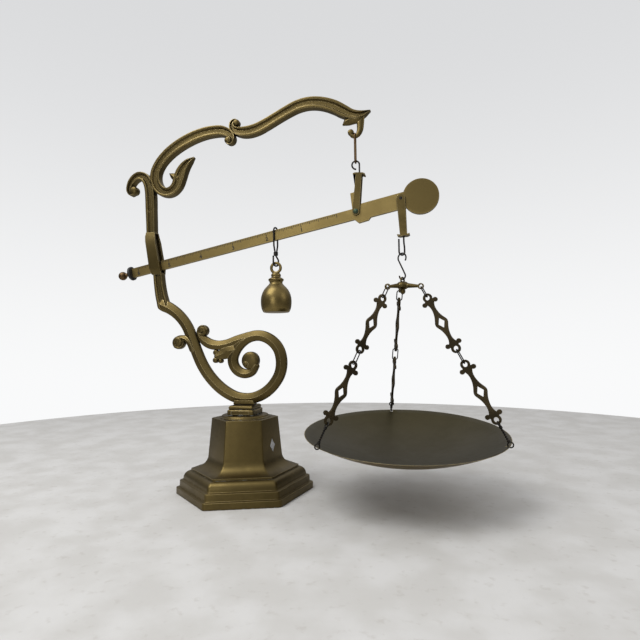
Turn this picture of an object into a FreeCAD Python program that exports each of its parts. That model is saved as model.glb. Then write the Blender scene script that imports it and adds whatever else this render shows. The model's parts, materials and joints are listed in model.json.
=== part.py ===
"""A brass steelyard: an unequal-arm hanging scale on a scrolled stand, in millimetres.

The frame's origin is the centre of the pedestal's underside, +Z is up, +X runs along the stand towards the
pan and +Y is the back. The beam is stored resting on the floor of its guard, with the rest hanging plumb.
"""
import FreeCAD, Part
import math
import os
import re

import Sketcher
from FreeCAD import Placement, Rotation, Vector

DIMENSIONS = [
    ("plinth_radius", 77.0, "pedestal: corner radius of the bottom step"),
    ("step_radius", 73.0, "pedestal: corner radius of the middle step"),
    ("ovolo_radius", 69.0, "pedestal: corner radius of the rounded step"),
    ("ledge_radius", 60.6, "pedestal: corner radius of the flare's edge"),
    ("waist_radius", 41.5, "pedestal: corner radius above the flare"),
    ("neck_radius", 37.4, "pedestal: corner radius at the top"),
    ("plinth_top", 7.0, "pedestal: height of the bottom step"),
    ("step_top", 14.7, "pedestal: height of the middle step"),
    ("ovolo_top", 24.7, "pedestal: height of the rounded step"),
    ("flare_foot", 26.8, "pedestal: height of the flare's edge"),
    ("flare_top", 41.0, "pedestal: height above the flare"),
    ("pedestal_height", 82.0, "pedestal: height of the flat top"),
    ("pedestal_turn", 19.4, "pedestal: turn about its axis, degrees"),
    ("seat_radius", 27.0, "pedestal: radius of the round seat"),
    ("seat_height", 3.0, "pedestal: height of the round seat"),
    ("wall", 4.6, "pedestal: wall thickness"),
    ("block_width", 31.0, "foot block: width of the lower step"),
    ("block_step", 6.3, "foot block: height of the lower step"),
    ("block_bevel", 1.4, "foot block: bevel of both steps"),
    ("block_top_width", 28.4, "foot block: width of the upper step"),
    ("block_height", 10.8, "foot block: whole height"),
    ("seat_depth", 7.0, "pedestal: thickness of the top"),
    ("bolt_radius", 3.0, "stand bolt: shank radius"),
    ("bolt_washer", 1.5, "stand washer: thickness"),
    ("bolt_head", 4.0, "stand bolt: height of the head"),
    ("bolt_clearance", 0.2, "clearance round the bolt and the studs"),
    ("stud_radius", 1.9, "guard studs: radius"),
    ("casting_edge", 3.1, "castings: half thickness at the edges"),
    ("casting_ridge", 4.8, "castings: half thickness at the ridge"),
    ("ridge_share", 0.6, "castings: ridge width over the member's width"),
    ("hook_edge", 1.3, "arm hook: half thickness at the edges"),
    ("hook_ridge", 2.3, "arm hook: half thickness at the middle"),
    ("guard_floor", 251.6, "guard: height of the slot's floor"),
    ("guard_ceiling", 300.2, "guard: height of the slot's ceiling"),
    ("guard_slot", 3.7, "guard: half width of the slot"),
    ("guard_depth", 7.2, "guard: half depth over both bars"),
    ("fulcrum_x", 132.0, "fulcrum pin: distance from the stand's axis"),
    ("fulcrum_z", 307.0, "fulcrum pin: height"),
    ("beam_slope", 10.6, "beam: slope at rest, degrees"),
    ("load_arm", 49.8, "beam: fulcrum pin to load pin"),
    ("load_rise", 1.2, "beam: load pin above the fulcrum pin's line"),
    ("beam_tail", 283.0, "beam: fulcrum pin to the tail end"),
    ("beam_half", 2.25, "beam: half thickness"),
    ("beam_top", 4.2, "beam: top edge over the pin's line, at the head"),
    ("beam_tail_top", 3.8, "beam: top edge over the pin's line, at the tail"),
    ("beam_bottom", 7.7, "beam: bottom edge under the pin's line, at the head"),
    ("beam_tail_bottom", 7.2, "beam: bottom edge under the pin's line, at the tail"),
    ("head_top", 7.6, "beam head: top edge over the pin's line"),
    ("head_bottom", 9.5, "beam head: bottom edge under the pin's line"),
    ("disc_arm", 70.6, "beam disc: fulcrum pin to the disc's centre"),
    ("disc_drop", 1.4, "beam disc: centre under the pin's line"),
    ("disc_radius", 19.1, "beam disc: radius"),
    ("tongue_height", 22.3, "tongue: top over the pin's line"),
    ("fulcrum_pin_radius", 1.95, "fulcrum pin: shaft radius"),
    ("load_pin_radius", 1.5, "load pin: shaft radius"),
    ("pin_head_radius", 2.9, "fulcrum pin: head radius"),
    ("running", 0.08, "running clearance of pins in the shackles"),
    ("washer_radius", 8.4, "stop washer: outer radius"),
    ("washer_half", 1.6, "stop washer: half thickness"),
    ("ball_radius", 5.2, "tip ball: radius"),
    ("ball_height", 14.6, "tip ball: tail end of the bar to the ball's centre"),
    ("tip_stem", 1.6, "tip ball: stem radius"),
    ("shackle_gap", 3.3, "shackles: half the gap between the plates"),
    ("shackle_half", 4.9, "shackles: half the width over both plates"),
    ("fulcrum_shackle_height", 43.0, "fulcrum shackle: pin to the top"),
    ("fulcrum_shackle_lean", 5.6, "fulcrum shackle: lean at rest, degrees"),
    ("load_shackle_height", 40.6, "load shackle: pin to the bottom"),
    ("load_shackle_lean", 2.7, "load shackle: lean at rest, degrees"),
    ("flange_half", 6.6, "shackles: half width of the flange"),
    ("flange", 1.6, "shackles: flange thickness"),
    ("wire", 0.9, "hooks: wire radius"),
    ("chain_wire", 0.6, "chain wires: wire radius"),
    ("link_length", 59.3, "chain link: hole to hole"),
    ("link_half", 1.1, "chain link: half thickness"),
    ("ring_radius", 4.8, "chain link: ring's outer radius"),
    ("ring_hole", 2.5, "chain link: ring's hole radius"),
    ("link_gap", 18.2, "chain: hole to hole across a wire"),
    ("hub_height", 224.2, "spider: height of the arms' centre line"),
    ("arm_length", 20.0, "spider: axis to the arms' holes"),
    ("pan_radius", 105.2, "pan: rim radius"),
    ("pan_depth", 27.0, "pan: depth"),
    ("pan_sheet", 1.1, "pan: sheet thickness"),
    ("pan_height", 70.0, "pan: height of the rim's centre"),
    ("pan_lift", 5.24, "pan: slope of the rim up to the back, degrees"),
    ("pan_dip", 1.3, "pan: slope of the rim down to the right, degrees"),
    ("poise_x", 38.4, "poise: distance from the stand's axis"),
    ("poise_radius", 17.4, "poise: greatest radius"),
    ("poise_mouth", 14.8, "poise: radius at the bottom"),
    ("poise_collar", 8.7, "poise: radius of the collar"),
    ("poise_eye", 5.5, "poise: radius of the eye's ring"),
    ("poise_eye_bar", 1.6, "poise: radius of the eye's bar"),
]

doc = FreeCAD.newDocument("steelyard_scale")
sheet = doc.addObject("Spreadsheet::Sheet", "dims")
for row, (alias, number, meaning) in enumerate(DIMENSIONS, start=1):
    sheet.set(f"A{row}", meaning)
    sheet.set(f"B{row}", str(number))
    sheet.setAlias(f"B{row}", alias)
doc.recompute()

ALIASES = {alias for alias, number, meaning in DIMENSIONS}
SUBPARTS = []
CONTACT = 0.01  # the gap left between faces that touch
UP = Vector(0, 0, 1)
ACROSS = Vector(1, 0, 0)
BACK = Vector(0, 1, 0)


def bound(text):
    """An expression in which every alias is looked up in the sheet."""
    return re.sub(r"[a-z_]+", lambda word: "dims." + word[0] if word[0] in ALIASES else word[0], text)


def size(text):
    """The number that an expression on the sheet's aliases gives now."""
    answer = sheet.evalExpression(bound(text))
    return float(getattr(answer, "Value", answer))


def keep(piece, label, placement=None):
    """Names a finished sub-part and remembers it for the export."""
    piece.Label = label
    if placement is not None:
        piece.Placement = placement
    SUBPARTS.append(piece)
    return piece


def made(label, shape, placement=None):
    """A sub-part whose shape is worked out with Part's functions."""
    piece = doc.addObject("Part::Feature", label)
    piece.Shape = shape
    return keep(piece, label, placement)


def turned_about(axis, degrees):
    return Rotation(axis, degrees)


# ---------------------------------------------------------------- sketches and PartDesign features


def plane_of(body, role):
    return next(plane for plane in body.Origin.OriginFeatures if plane.Role == role)


def new_sketch(body, name, role):
    sketch = body.newObject("Sketcher::SketchObject", name)
    sketch.AttachmentSupport = [(plane_of(body, role), "")]
    sketch.MapMode = "FlatFace"
    return sketch


def drive(sketch, kind, geometry, vertex, text):
    """Holds one coordinate of a vertex at an expression on the sheet."""
    number = size(text)
    if abs(number) < 1e-9:
        axis = -2 if kind == "DistanceX" else -1
        sketch.addConstraint(Sketcher.Constraint("PointOnObject", geometry, vertex, axis))
        return
    index = sketch.addConstraint(Sketcher.Constraint(kind, -1, 1, geometry, vertex, number))
    sketch.setExpression(f"Constraints[{index}]", bound(text))


def arc_centre(start, end, radius, side):
    """The centre of an arc from start to end: side 1 puts it on the left of the way, side -1 on the right."""
    middle = (start + end) * 0.5
    chord = end - start
    rise = math.sqrt(radius**2 - (chord.Length / 2) ** 2)
    across = Vector(-chord.y, chord.x, 0).normalize()
    return middle + across * rise * side


def outline(sketch, corners):
    """A closed loop of lines and arcs: a corner is (x, y), or (x, y, radius, side) where an arc ends."""
    points = [Vector(size(corner[0]), size(corner[1]), 0) for corner in corners]
    first = sketch.GeometryCount
    for index, corner in enumerate(corners):
        start = points[index - 1]
        end = points[index]
        if len(corner) == 2:
            sketch.addGeometry(Part.LineSegment(start, end), False)
            continue
        radius = size(corner[2])
        side = corner[3]
        centre = arc_centre(start, end, radius, side)
        middle = ((start + end) * 0.5 - centre).normalize() * radius + centre
        sketch.addGeometry(Part.Arc(start, middle, end), False)
    count = len(corners)
    for index, corner in enumerate(corners):
        geometry = first + index
        following = first + (index + 1) % count
        ends_at = end_vertex(sketch, geometry, points[index])
        starts_at = end_vertex(sketch, following, points[index])
        sketch.addConstraint(Sketcher.Constraint("Coincident", geometry, ends_at, following, starts_at))
        drive(sketch, "DistanceX", geometry, ends_at, corner[0])
        drive(sketch, "DistanceY", geometry, ends_at, corner[1])
        if len(corner) > 2:
            held = sketch.addConstraint(Sketcher.Constraint("Radius", geometry, size(corner[2])))
            sketch.setExpression(f"Constraints[{held}]", bound(corner[2]))


def end_vertex(sketch, geometry, point):
    """1 if the element starts at the point, 2 if it ends there: an arc may be stored the other way round."""
    return 1 if sketch.getPoint(geometry, 1).distanceToPoint(point) < 1e-6 else 2


def circle(sketch, x_text, y_text, radius_text):
    middle = Vector(size(x_text), size(y_text), 0)
    geometry = sketch.addGeometry(Part.Circle(middle, Vector(0, 0, 1), size(radius_text)), False)
    drive(sketch, "DistanceX", geometry, 3, x_text)
    drive(sketch, "DistanceY", geometry, 3, y_text)
    index = sketch.addConstraint(Sketcher.Constraint("Radius", geometry, size(radius_text)))
    sketch.setExpression(f"Constraints[{index}]", bound(radius_text))


def new_body(name):
    return doc.addObject("PartDesign::Body", name)


def pad(body, sketch, length_text, symmetric=True, reversed_=False):
    feature = body.newObject("PartDesign::Pad", sketch.Name + "_pad")
    feature.Profile = sketch
    feature.SideType = "Symmetric" if symmetric else "One side"
    feature.Reversed = reversed_
    feature.setExpression("Length", bound(length_text))
    doc.recompute()
    return feature


def pocket(body, sketch, length_text):
    """Cuts the sketch through both ways and makes sure that something came away."""
    before = body.Shape.Volume
    feature = body.newObject("PartDesign::Pocket", sketch.Name + "_pocket")
    feature.Profile = sketch
    feature.SideType = "Symmetric"
    feature.setExpression("Length", bound(length_text))
    doc.recompute()
    if not body.Shape.Volume < before - 1e-3:
        raise RuntimeError(f"{sketch.Name} cut nothing")
    return feature


def revolved(label, corners, placement=None):
    """A body turned about its own Z axis from a profile of (radius, height) corners."""
    body = new_body(label)
    sketch = new_sketch(body, label + "_profile", "XZ_Plane")
    outline(sketch, corners)
    feature = body.newObject("PartDesign::Revolution", label + "_turning")
    feature.Profile = sketch
    feature.ReferenceAxis = (sketch, ["V_Axis"])
    feature.Angle = 360
    doc.recompute()
    return keep(body, label, placement)


# ---------------------------------------------------------------- wires, castings and solids


def straight(start, end, radius):
    return Part.makeCylinder(radius, (end - start).Length, start, end - start)


def bend(centre, axis, start, degrees, radius):
    """A round wire bent round the centre, from the start point through an angle about the axis."""
    section = Part.Face(Part.Wire([Part.makeCircle(radius, start, axis.cross(start - centre))]))
    return section.revolve(centre, axis, degrees)


def rod(points, radii, radius):
    """A round wire of straight runs through the points, with a bend of given radius at each inner point."""
    solids = []
    start = points[0]
    for index, turn in enumerate(radii, start=1):
        corner = points[index]
        towards = (points[index - 1] - corner).normalize()
        onwards = (points[index + 1] - corner).normalize()
        half = towards.getAngle(onwards) / 2
        entry = corner + towards * (turn / math.tan(half))
        centre = corner + (towards + onwards).normalize() * (turn / math.sin(half))
        if (entry - start).Length > 1e-4:
            solids.append(straight(start, entry, radius))
        axis = onwards.cross(towards).normalize()
        solids.append(bend(centre, axis, entry, 180 - math.degrees(2 * half), radius))
        start = corner + onwards * (turn / math.tan(half))
    solids.append(straight(start, points[-1], radius))
    return joined(solids)


def stadium(length, half_width, radius):
    """A closed wire loop in the XZ plane: apex to apex along Z, with half round ends."""
    rise = length / 2 - half_width
    solids = []
    for sign in (1, -1):
        centre = Vector(0, 0, sign * rise)
        side = Vector(sign * half_width, 0, sign * rise)
        solids.append(bend(centre, -BACK, side, 180, radius))
        solids.append(straight(side, Vector(side.x, 0, -side.z), radius))
    return joined(solids)


def joined(solids):
    whole = solids[0].multiFuse(solids[1:]).removeSplitter()
    return whole.Solids[0] if len(whole.Solids) == 1 else whole


def flat(x, z):
    return Vector(x, 0, z)


def revolved_solid(corners):
    """A solid turned about Z from (radius, height) corners joined by straight lines."""
    points = [flat(r, z) for r, z in corners]
    face = Part.Face(Part.makePolygon(points + points[:1]))
    return face.revolve(Vector(), UP, 360)


def strip(stations):
    """A flat strip in the XZ plane: stations are (x, z, width), and each side is a curve."""
    centre = Part.BSplineCurve()
    centre.interpolate([flat(x, z) for x, z, width in stations])
    sides = ([], [])
    for x, z, width in stations:
        along = centre.tangent(centre.parameter(flat(x, z)))[0]
        across = Vector(-along.z, 0, along.x) * (width / 2)
        sides[0].append(flat(x, z) + across)
        sides[1].append(flat(x, z) - across)
    curves = []
    for side in sides:
        curve = Part.BSplineCurve()
        curve.interpolate(side)
        curves.append(curve.toShape())
    caps = [Part.LineSegment(sides[0][end], sides[1][end]).toShape() for end in (0, -1)]
    return Part.Face(Part.Wire(Part.__sortEdges__([curves[0], caps[1], curves[1], caps[0]])))


def disc(x, z, radius):
    return Part.Face(Part.Wire([Part.makeCircle(radius, flat(x, z), BACK)]))


def plate(points):
    corners = [flat(x, z) for x, z in points]
    return Part.Face(Part.makePolygon(corners + corners[:1]))


def slab(face, half):
    """The face, which lies in the XZ plane, thickened equally to the front and the back."""
    return face.translated(Vector(0, -half, 0)).extrude(Vector(0, 2 * half, 0))


def narrowed(stations, share):
    return [(x, z, width * share) for x, z, width in stations]


def casting(strips, discs, plates, edge, ridge):
    """An ornamental casting: members with a thin edge and a raised ridge or boss along their middle."""
    share = size("ridge_share")
    outlines = [strip(stations) for stations in strips] + [disc(*place) for place in discs]
    outlines += [plate(points) for points in plates]
    raised = [strip(narrowed(stations, share)) for stations in strips]
    raised += [disc(x, z, radius * 0.8) for x, z, radius in discs]
    return joined([slab(face, edge) for face in outlines] + [slab(face, ridge) for face in raised])


# ---------------------------------------------------------------- the stand

seat_top = size("pedestal_height + seat_height")


def hexagons(name, sections):
    """A loft through level hexagons, each (corner radius, height) in the sheet's terms."""
    rings = []
    for index, (radius_text, height_text) in enumerate(sections):
        ring = doc.addObject("Part::RegularPolygon", f"{name}_{index}")
        ring.Polygon = 6
        ring.setExpression("Circumradius", bound(radius_text))
        ring.setExpression("Placement.Base.z", bound(height_text))
        rings.append(ring)
    loft = doc.addObject("Part::Loft", name)
    loft.Sections = rings
    loft.Solid = True
    loft.Ruled = True
    return loft


def make_pedestal():
    """A hollow hexagonal casting: plinth, two steps, concave flare and tapering shaft with a round seat."""
    outside = [
        ("plinth_radius", "0"),
        ("plinth_radius", "plinth_top - 1"),
        ("plinth_radius - 1", "plinth_top"),
        ("step_radius", "plinth_top + 0.4"),
        ("step_radius", "step_top"),
        ("ovolo_radius - 0.8", "step_top + 0.4"),
    ]
    for degrees in (8, 30, 52, 76):
        reach = f"(ovolo_radius - ledge_radius) * cos({degrees})"
        rise = f"(ovolo_top - step_top - 2) * sin({degrees})"
        outside.append((f"ledge_radius + {reach}", f"step_top + 1.6 + {rise}"))
    outside.append(("ledge_radius", "ovolo_top + 0.3"))
    for degrees in (0, 15, 32, 50, 70, 90):
        reach = f"(ledge_radius - waist_radius) * (1 - sin({degrees}))"
        rise = f"(flare_top - flare_foot) * (1 - cos({degrees}))"
        outside.append((f"waist_radius + {reach}", f"flare_foot + {rise}"))
    outside.append(("neck_radius", "pedestal_height - 0.6"))
    outside.append(("neck_radius - 0.6", "pedestal_height"))
    inside = [("plinth_radius - wall - 1", "-1"), ("plinth_radius - wall - 1", "plinth_top + 1")]
    inside += [("ledge_radius - wall", "step_top + 3"), ("waist_radius - wall + 2", "flare_top - 8")]
    inside.append(("waist_radius - wall - 1", "flare_top"))
    inside.append(("neck_radius - wall - 1", "pedestal_height - seat_depth"))
    shell = doc.addObject("Part::Cut", "pedestal_shell")
    shell.Base = hexagons("pedestal_outside", outside)
    shell.Tool = hexagons("pedestal_inside", inside)
    seat = doc.addObject("Part::Cylinder", "pedestal_seat")
    seat.setExpression("Radius", bound("seat_radius"))
    seat.setExpression("Height", bound("seat_height + 2"))
    seat.setExpression("Placement.Base.z", bound("pedestal_height - 2"))
    solid = doc.addObject("Part::Fuse", "pedestal_solid")
    solid.Base = shell
    solid.Tool = seat
    bore = doc.addObject("Part::Cylinder", "pedestal_bore")
    bore.setExpression("Radius", bound("bolt_radius + bolt_clearance"))
    bore.setExpression("Height", bound("pedestal_height"))
    bore.setExpression("Placement.Base.z", bound("pedestal_height - 20"))
    pedestal = doc.addObject("Part::Cut", "pedestal")
    pedestal.Base = solid
    pedestal.Tool = bore
    keep(pedestal, "pedestal", Placement(Vector(), turned_about(UP, size("pedestal_turn"))))


def bevel(body, base, height, amount_text):
    """Bevels the four edges round a level face at the given height."""
    names = []
    for index, edge in enumerate(base.Shape.Edges, start=1):
        heights = [vertex.Point.z for vertex in edge.Vertexes]
        if all(abs(z - height) < 1e-4 for z in heights) and edge.Length > size("block_top_width") / 2:
            names.append(f"Edge{index}")
    feature = body.newObject("PartDesign::Chamfer", f"{base.Name}_bevel")
    feature.Base = (base, names)
    feature.setExpression("Size", bound(amount_text))
    doc.recompute()
    return feature


def make_foot_block():
    """The square foot that the scroll stands on: two bevelled steps, tapped from below for the bolt."""
    body = new_body("foot_block")
    lower = new_sketch(body, "foot_block_lower", "XY_Plane")
    half = "block_width / 2"
    outline(lower, [(half, half), ("-" + half, half), ("-" + half, "-" + half), (half, "-" + half)])
    step = pad(body, lower, "block_step", symmetric=False)
    bevel(body, step, size("block_step"), "block_bevel")
    upper = new_sketch(body, "foot_block_upper", "XY_Plane")
    half = "block_top_width / 2"
    outline(upper, [(half, half), ("-" + half, half), ("-" + half, "-" + half), (half, "-" + half)])
    top = pad(body, upper, "block_height", symmetric=False)
    bevel(body, top, size("block_height"), "block_bevel")
    hole = new_sketch(body, "foot_block_hole", "XY_Plane")
    circle(hole, "0", "0", "bolt_radius + bolt_clearance / 4")
    pocket(body, hole, "2 * block_step + 4")
    keep(body, "foot_block", Placement(Vector(0, 0, seat_top + CONTACT), Rotation()))


def make_stand_bolt():
    """The bolt and washer inside the pedestal that pull the foot block down on its seat."""
    under = size("pedestal_height - seat_depth")
    bore = "bolt_radius + bolt_clearance"
    rim = "bolt_radius * 3"
    corners = [(bore, "0"), (rim, "0"), (rim, "bolt_washer"), (bore, "bolt_washer")]
    washer_foot = under - size("bolt_washer") - CONTACT
    revolved("stand_washer", corners, Placement(Vector(0, 0, washer_foot), Rotation()))
    body = new_body("stand_bolt")
    shank = new_sketch(body, "stand_bolt_shank", "XY_Plane")
    circle(shank, "0", "0", "bolt_radius")
    pad(body, shank, "seat_height + seat_depth + block_step", symmetric=False)
    head = new_sketch(body, "stand_bolt_head", "XY_Plane")
    reach = "bolt_radius * 1.9"
    outline(
        head,
        [
            (f"{reach} * cos(0)", "0"),
            (f"{reach} * cos(60)", f"{reach} * sin(60)"),
            (f"-{reach} * cos(60)", f"{reach} * sin(60)"),
            (f"-{reach}", "0"),
            (f"-{reach} * cos(60)", f"-{reach} * sin(60)"),
            (f"{reach} * cos(60)", f"-{reach} * sin(60)"),
        ],
    )
    pad(body, head, "bolt_head", symmetric=False, reversed_=True)
    keep(body, "stand_bolt", Placement(Vector(0, 0, washer_foot - CONTACT), Rotation()))


LOOP = [
    (-103.7, 212.5, 14.5), (-94.5, 208.0, 13.6), (-84.5, 200.8, 13.2), (-74.0, 188.6, 13.2),
    (-66.2, 172.5, 13.6), (-60.0, 156.0, 13.8), (-52.3, 140.0, 13.8), (-40.6, 124.2, 13.6),
    (-25.0, 111.0, 13.4), (-8.8, 103.6, 12.8), (8.0, 103.0, 12.6), (22.6, 108.4, 12.6),
    (34.9, 119.0, 12.6), (42.4, 132.0, 12.8), (44.0, 146.4, 13.0), (40.3, 159.2, 12.8),
    (31.4, 168.8, 12.6), (19.0, 173.8, 12.3), (6.4, 172.4, 12.0), (-4.6, 165.4, 12.0),
    (-12.0, 155.6, 12.3), (-14.6, 146.0, 12.4), (-12.0, 138.0, 12.0), (-5.6, 132.4, 11.4),
    (2.2, 130.8, 10.4), (9.0, 133.4, 9.6), (13.0, 139.2, 9.0),
]
BRANCH = [
    (6.0, 172.6, 12.0), (-9.5, 168.6, 11.6), (-22.0, 164.8, 10.8), (-33.0, 163.6, 11.0),
    (-43.5, 165.6, 11.6), (-52.0, 171.0, 11.6), (-57.2, 178.0, 9.0),
]
LEFT_CURL = [(-66.0, 166.0, 11.0), (-71.0, 171.5, 10.0), (-77.0, 173.4, 8.0), (-83.5, 172.0, 6.0)]
BUD = [(-36.0, 150.6, 10.0), (-27.0, 151.0, 9.0), (-16.0, 151.0, 9.0)]
LOWER_DISCS = [
    (7.3, 145.6, 10.2), (-52.3, 181.0, 6.7), (-83.1, 167.6, 8.1), (-35.4, 155.0, 3.2),
    (-35.6, 146.4, 3.2),
]
LOWER_COLUMN = [(-116.2, 249.6), (-104.2, 249.6), (-96.9, 216.7), (-103.7, 208.5), (-110.5, 208.3)]
WEB = [(-39.0, 160.0), (-30.0, 151.0), (-16.0, 151.0), (-8.0, 164.0)]

COLUMN = [(-125.6, 301.4), (-114.0, 301.4), (-115.0, 350.0), (-127.6, 350.0)]
LEFT_VOLUTE = [
    (-120.6, 330.0, 12.0), (-121.2, 344.0, 12.3), (-122.0, 354.0, 12.2), (-124.4, 363.6, 12.0),
    (-129.6, 370.6, 11.0), (-137.0, 373.2, 10.0), (-144.6, 369.6, 9.4), (-149.6, 362.2, 9.4),
    (-150.2, 354.6, 8.0),
]
BIG_ARC = [
    (-15.0, 398.4, 5.6), (-11.6, 404.0, 7.6), (-14.6, 411.2, 10.0), (-25.0, 416.2, 11.6),
    (-38.7, 417.6, 12.6), (-55.0, 415.8, 13.0), (-71.5, 410.9, 13.2), (-86.4, 404.0, 13.2),
    (-99.6, 395.0, 12.8), (-109.0, 385.0, 12.6), (-114.0, 374.6, 12.8), (-114.5, 366.0, 12.9),
    (-111.8, 358.2, 12.6), (-106.0, 351.8, 11.8), (-98.6, 349.2, 11.4), (-91.0, 351.2, 12.0),
    (-85.4, 357.0, 13.0), (-82.4, 364.8, 14.2), (-79.2, 373.0, 13.4), (-73.0, 381.6, 9.0),
    (-63.4, 389.0, 1.4),
]
GOOSENECK = [
    (-13.4, 425.4, 4.6), (-14.8, 419.6, 7.0), (-10.6, 415.0, 9.2), (-3.0, 412.8, 11.0),
    (6.5, 412.1, 12.6), (17.0, 413.8, 12.8), (29.4, 418.6, 12.3), (42.0, 424.4, 12.0),
    (54.4, 430.0, 12.3), (66.6, 434.5, 12.8), (78.0, 436.2, 13.1), (89.6, 435.2, 13.4),
    (100.2, 432.2, 13.8), (110.4, 427.5, 14.4), (120.0, 421.4, 14.4), (129.6, 416.2, 11.6),
    (139.0, 415.2, 9.6), (149.4, 418.6, 1.6),
]
ARM_HOOK = [
    (137.6, 413.0, 9.0), (138.2, 405.0, 7.2), (137.6, 398.0, 6.0), (135.4, 393.6, 5.0),
    (132.0, 391.9, 4.5), (128.4, 393.0, 4.4), (126.4, 396.6, 4.2),
]
ARM_DISCS = [(-145.6, 354.8, 7.9), (-18.3, 403.4, 6.5), (-8.4, 425.2, 6.2)]
BARB = [(-92.0, 361.5), (-95.9, 372.2), (-85.0, 377.0), (-82.0, 368.0)]
SPUR = [
    (112.0, 420.0), (117.8, 413.4), (118.3, 407.4), (120.4, 405.8), (127.8, 407.2), (135.0, 404.0),
    (137.0, 414.0),
]


def stud_bore(x, z):
    length = 13.0
    radius = size("stud_radius + bolt_clearance / 2")
    return Part.makeCylinder(radius, length, Vector(x, 0, z - length / 2), UP)


LOWER_STUD = (-110.4, 249.3)
UPPER_STUD = (-119.8, 301.7)


def make_castings():
    """The lower scroll and the gooseneck arm, which are studded to the two ends of the beam guard."""
    edge = size("casting_edge")
    ridge = size("casting_ridge")
    scroll = casting([LOOP, BRANCH, LEFT_CURL, BUD], LOWER_DISCS, [LOWER_COLUMN, WEB], edge, ridge)
    column_ridge = plate([(-113.4, 249.6), (-107.0, 249.6), (-101.0, 215.0), (-106.6, 211.0)])
    foot_width = 24.0
    foot_corner = Vector(-foot_width / 2, -ridge, seat_top + size("block_height") + 2 * CONTACT)
    foot = Part.makeBox(foot_width, 2 * ridge, 8.0, foot_corner)
    scroll = joined([scroll, slab(column_ridge, ridge), foot])
    made("lower_scroll", scroll.cut(stud_bore(*LOWER_STUD)))

    arm = casting([LEFT_VOLUTE, BIG_ARC, GOOSENECK], ARM_DISCS, [COLUMN, BARB, SPUR], edge, ridge)
    column_ridge = plate([(-123.6, 301.4), (-116.2, 301.4), (-117.2, 345.0), (-124.6, 345.0)])
    hook = casting([ARM_HOOK], [], [], size("hook_edge"), size("hook_ridge"))
    arm = joined([arm, slab(column_ridge, ridge), hook])
    made("gooseneck_arm", arm.cut(stud_bore(*UPPER_STUD)))


def make_guard():
    """Two bars, front and back, that the beam's tail passes between, joined at the top and the bottom."""
    depth = size("guard_depth")
    front = plate(
        [
            (-117.4, 249.62),
            (-104.6, 249.62),
            (-105.4, 256.0),
            (-113.2, 296.0),
            (-114.0, 301.38),
            (-125.6, 301.38),
            (-126.0, 296.0),
            (-119.4, 256.0),
        ]
    )
    front_solid = slab(front, depth)
    right_side = [(4.4, 249.0), (depth, 257.0), (depth, 290.0), (4.6, 302.0)]
    left_side = [(-y, z) for y, z in reversed(right_side)]
    left_of_guard = -140.0
    reach = 50.0
    corners = [Vector(left_of_guard, y, z) for y, z in right_side + left_side]
    side_solid = Part.Face(Part.makePolygon(corners + corners[:1])).extrude(Vector(reach, 0, 0))
    floor = size("guard_floor")
    half = size("guard_slot")
    slot = Part.makeBox(reach, 2 * half, size("guard_ceiling") - floor, Vector(left_of_guard, -half, floor))
    guard = front_solid.common(side_solid).cut(slot)
    made("beam_guard", guard.cut(stud_bore(*LOWER_STUD)).cut(stud_bore(*UPPER_STUD)))


def make_studs():
    """The two plain studs that join the castings, each half in one casting and half in the next."""
    for label, (x, z), below, above in (
        ("lower_guard_stud", LOWER_STUD, 5.5, 2.0),
        ("upper_guard_stud", UPPER_STUD, 1.2, 5.5),
    ):
        stud = Part.makeCylinder(size("stud_radius"), below + above, Vector(x, 0, z - below), UP)
        made(label, stud)


make_pedestal()
make_foot_block()
make_stand_bolt()
make_castings()
make_guard()
make_studs()

# ---------------------------------------------------------------- the fulcrum's hanging parts

fulcrum = Vector(size("fulcrum_x"), 0, size("fulcrum_z"))
wire = size("wire")
HOOK_LINK_TOP = 395.3
HOOK_LINK_BOTTOM = 362.2


def make_hook_link():
    """The long closed link that hangs in the arm's hook, seen edge on from the front."""
    length = HOOK_LINK_TOP - HOOK_LINK_BOTTOM
    loop = stadium(length, 4.0, 0.8)
    loop.rotate(Vector(), UP, 90)
    loop.translate(Vector(fulcrum.x, 0, (HOOK_LINK_TOP + HOOK_LINK_BOTTOM) / 2))
    made("hook_link", loop)


def round_point(centre, radius, degrees):
    """A point of a circle in the XZ plane."""
    angle = math.radians(degrees)
    return centre + Vector(math.cos(angle), 0, math.sin(angle)) * radius


def round_bend(centre, turn, start, end, radius):
    """A wire bent round a circle in the XZ plane, from one angle to another."""
    axis = -BACK if end > start else BACK
    return bend(centre, axis, round_point(centre, turn, start), abs(end - start), radius)


fulcrum_shackle_place = Placement(fulcrum, turned_about(BACK, size("fulcrum_shackle_lean")))


def make_fulcrum_hook():
    """An open wire eye whose shank goes down through the shackle's flange and is headed over inside."""
    eye = Vector(fulcrum.x + 0.1, 0, 360.2)
    turn = 4.1
    wide_turn = 5.2
    low = eye + Vector(wide_turn - turn, 0, 0)
    flange_top = fulcrum_shackle_place.multVec(Vector(0, 0, size("fulcrum_shackle_height")))
    shank_top = round_point(eye, turn, 0)
    shank_foot = Vector(shank_top.x, 0, flange_top.z - 2.2)
    solids = [
        round_bend(low, wide_turn, 180, 262, wire),
        round_bend(eye, turn, 0, 180, wire),
        straight(shank_foot, shank_top, wire),
        Part.makeCylinder(1.8, 0.8, shank_foot - Vector(0.1, 0, 0.6), UP),
    ]
    made("fulcrum_hook", joined(solids))


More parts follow.
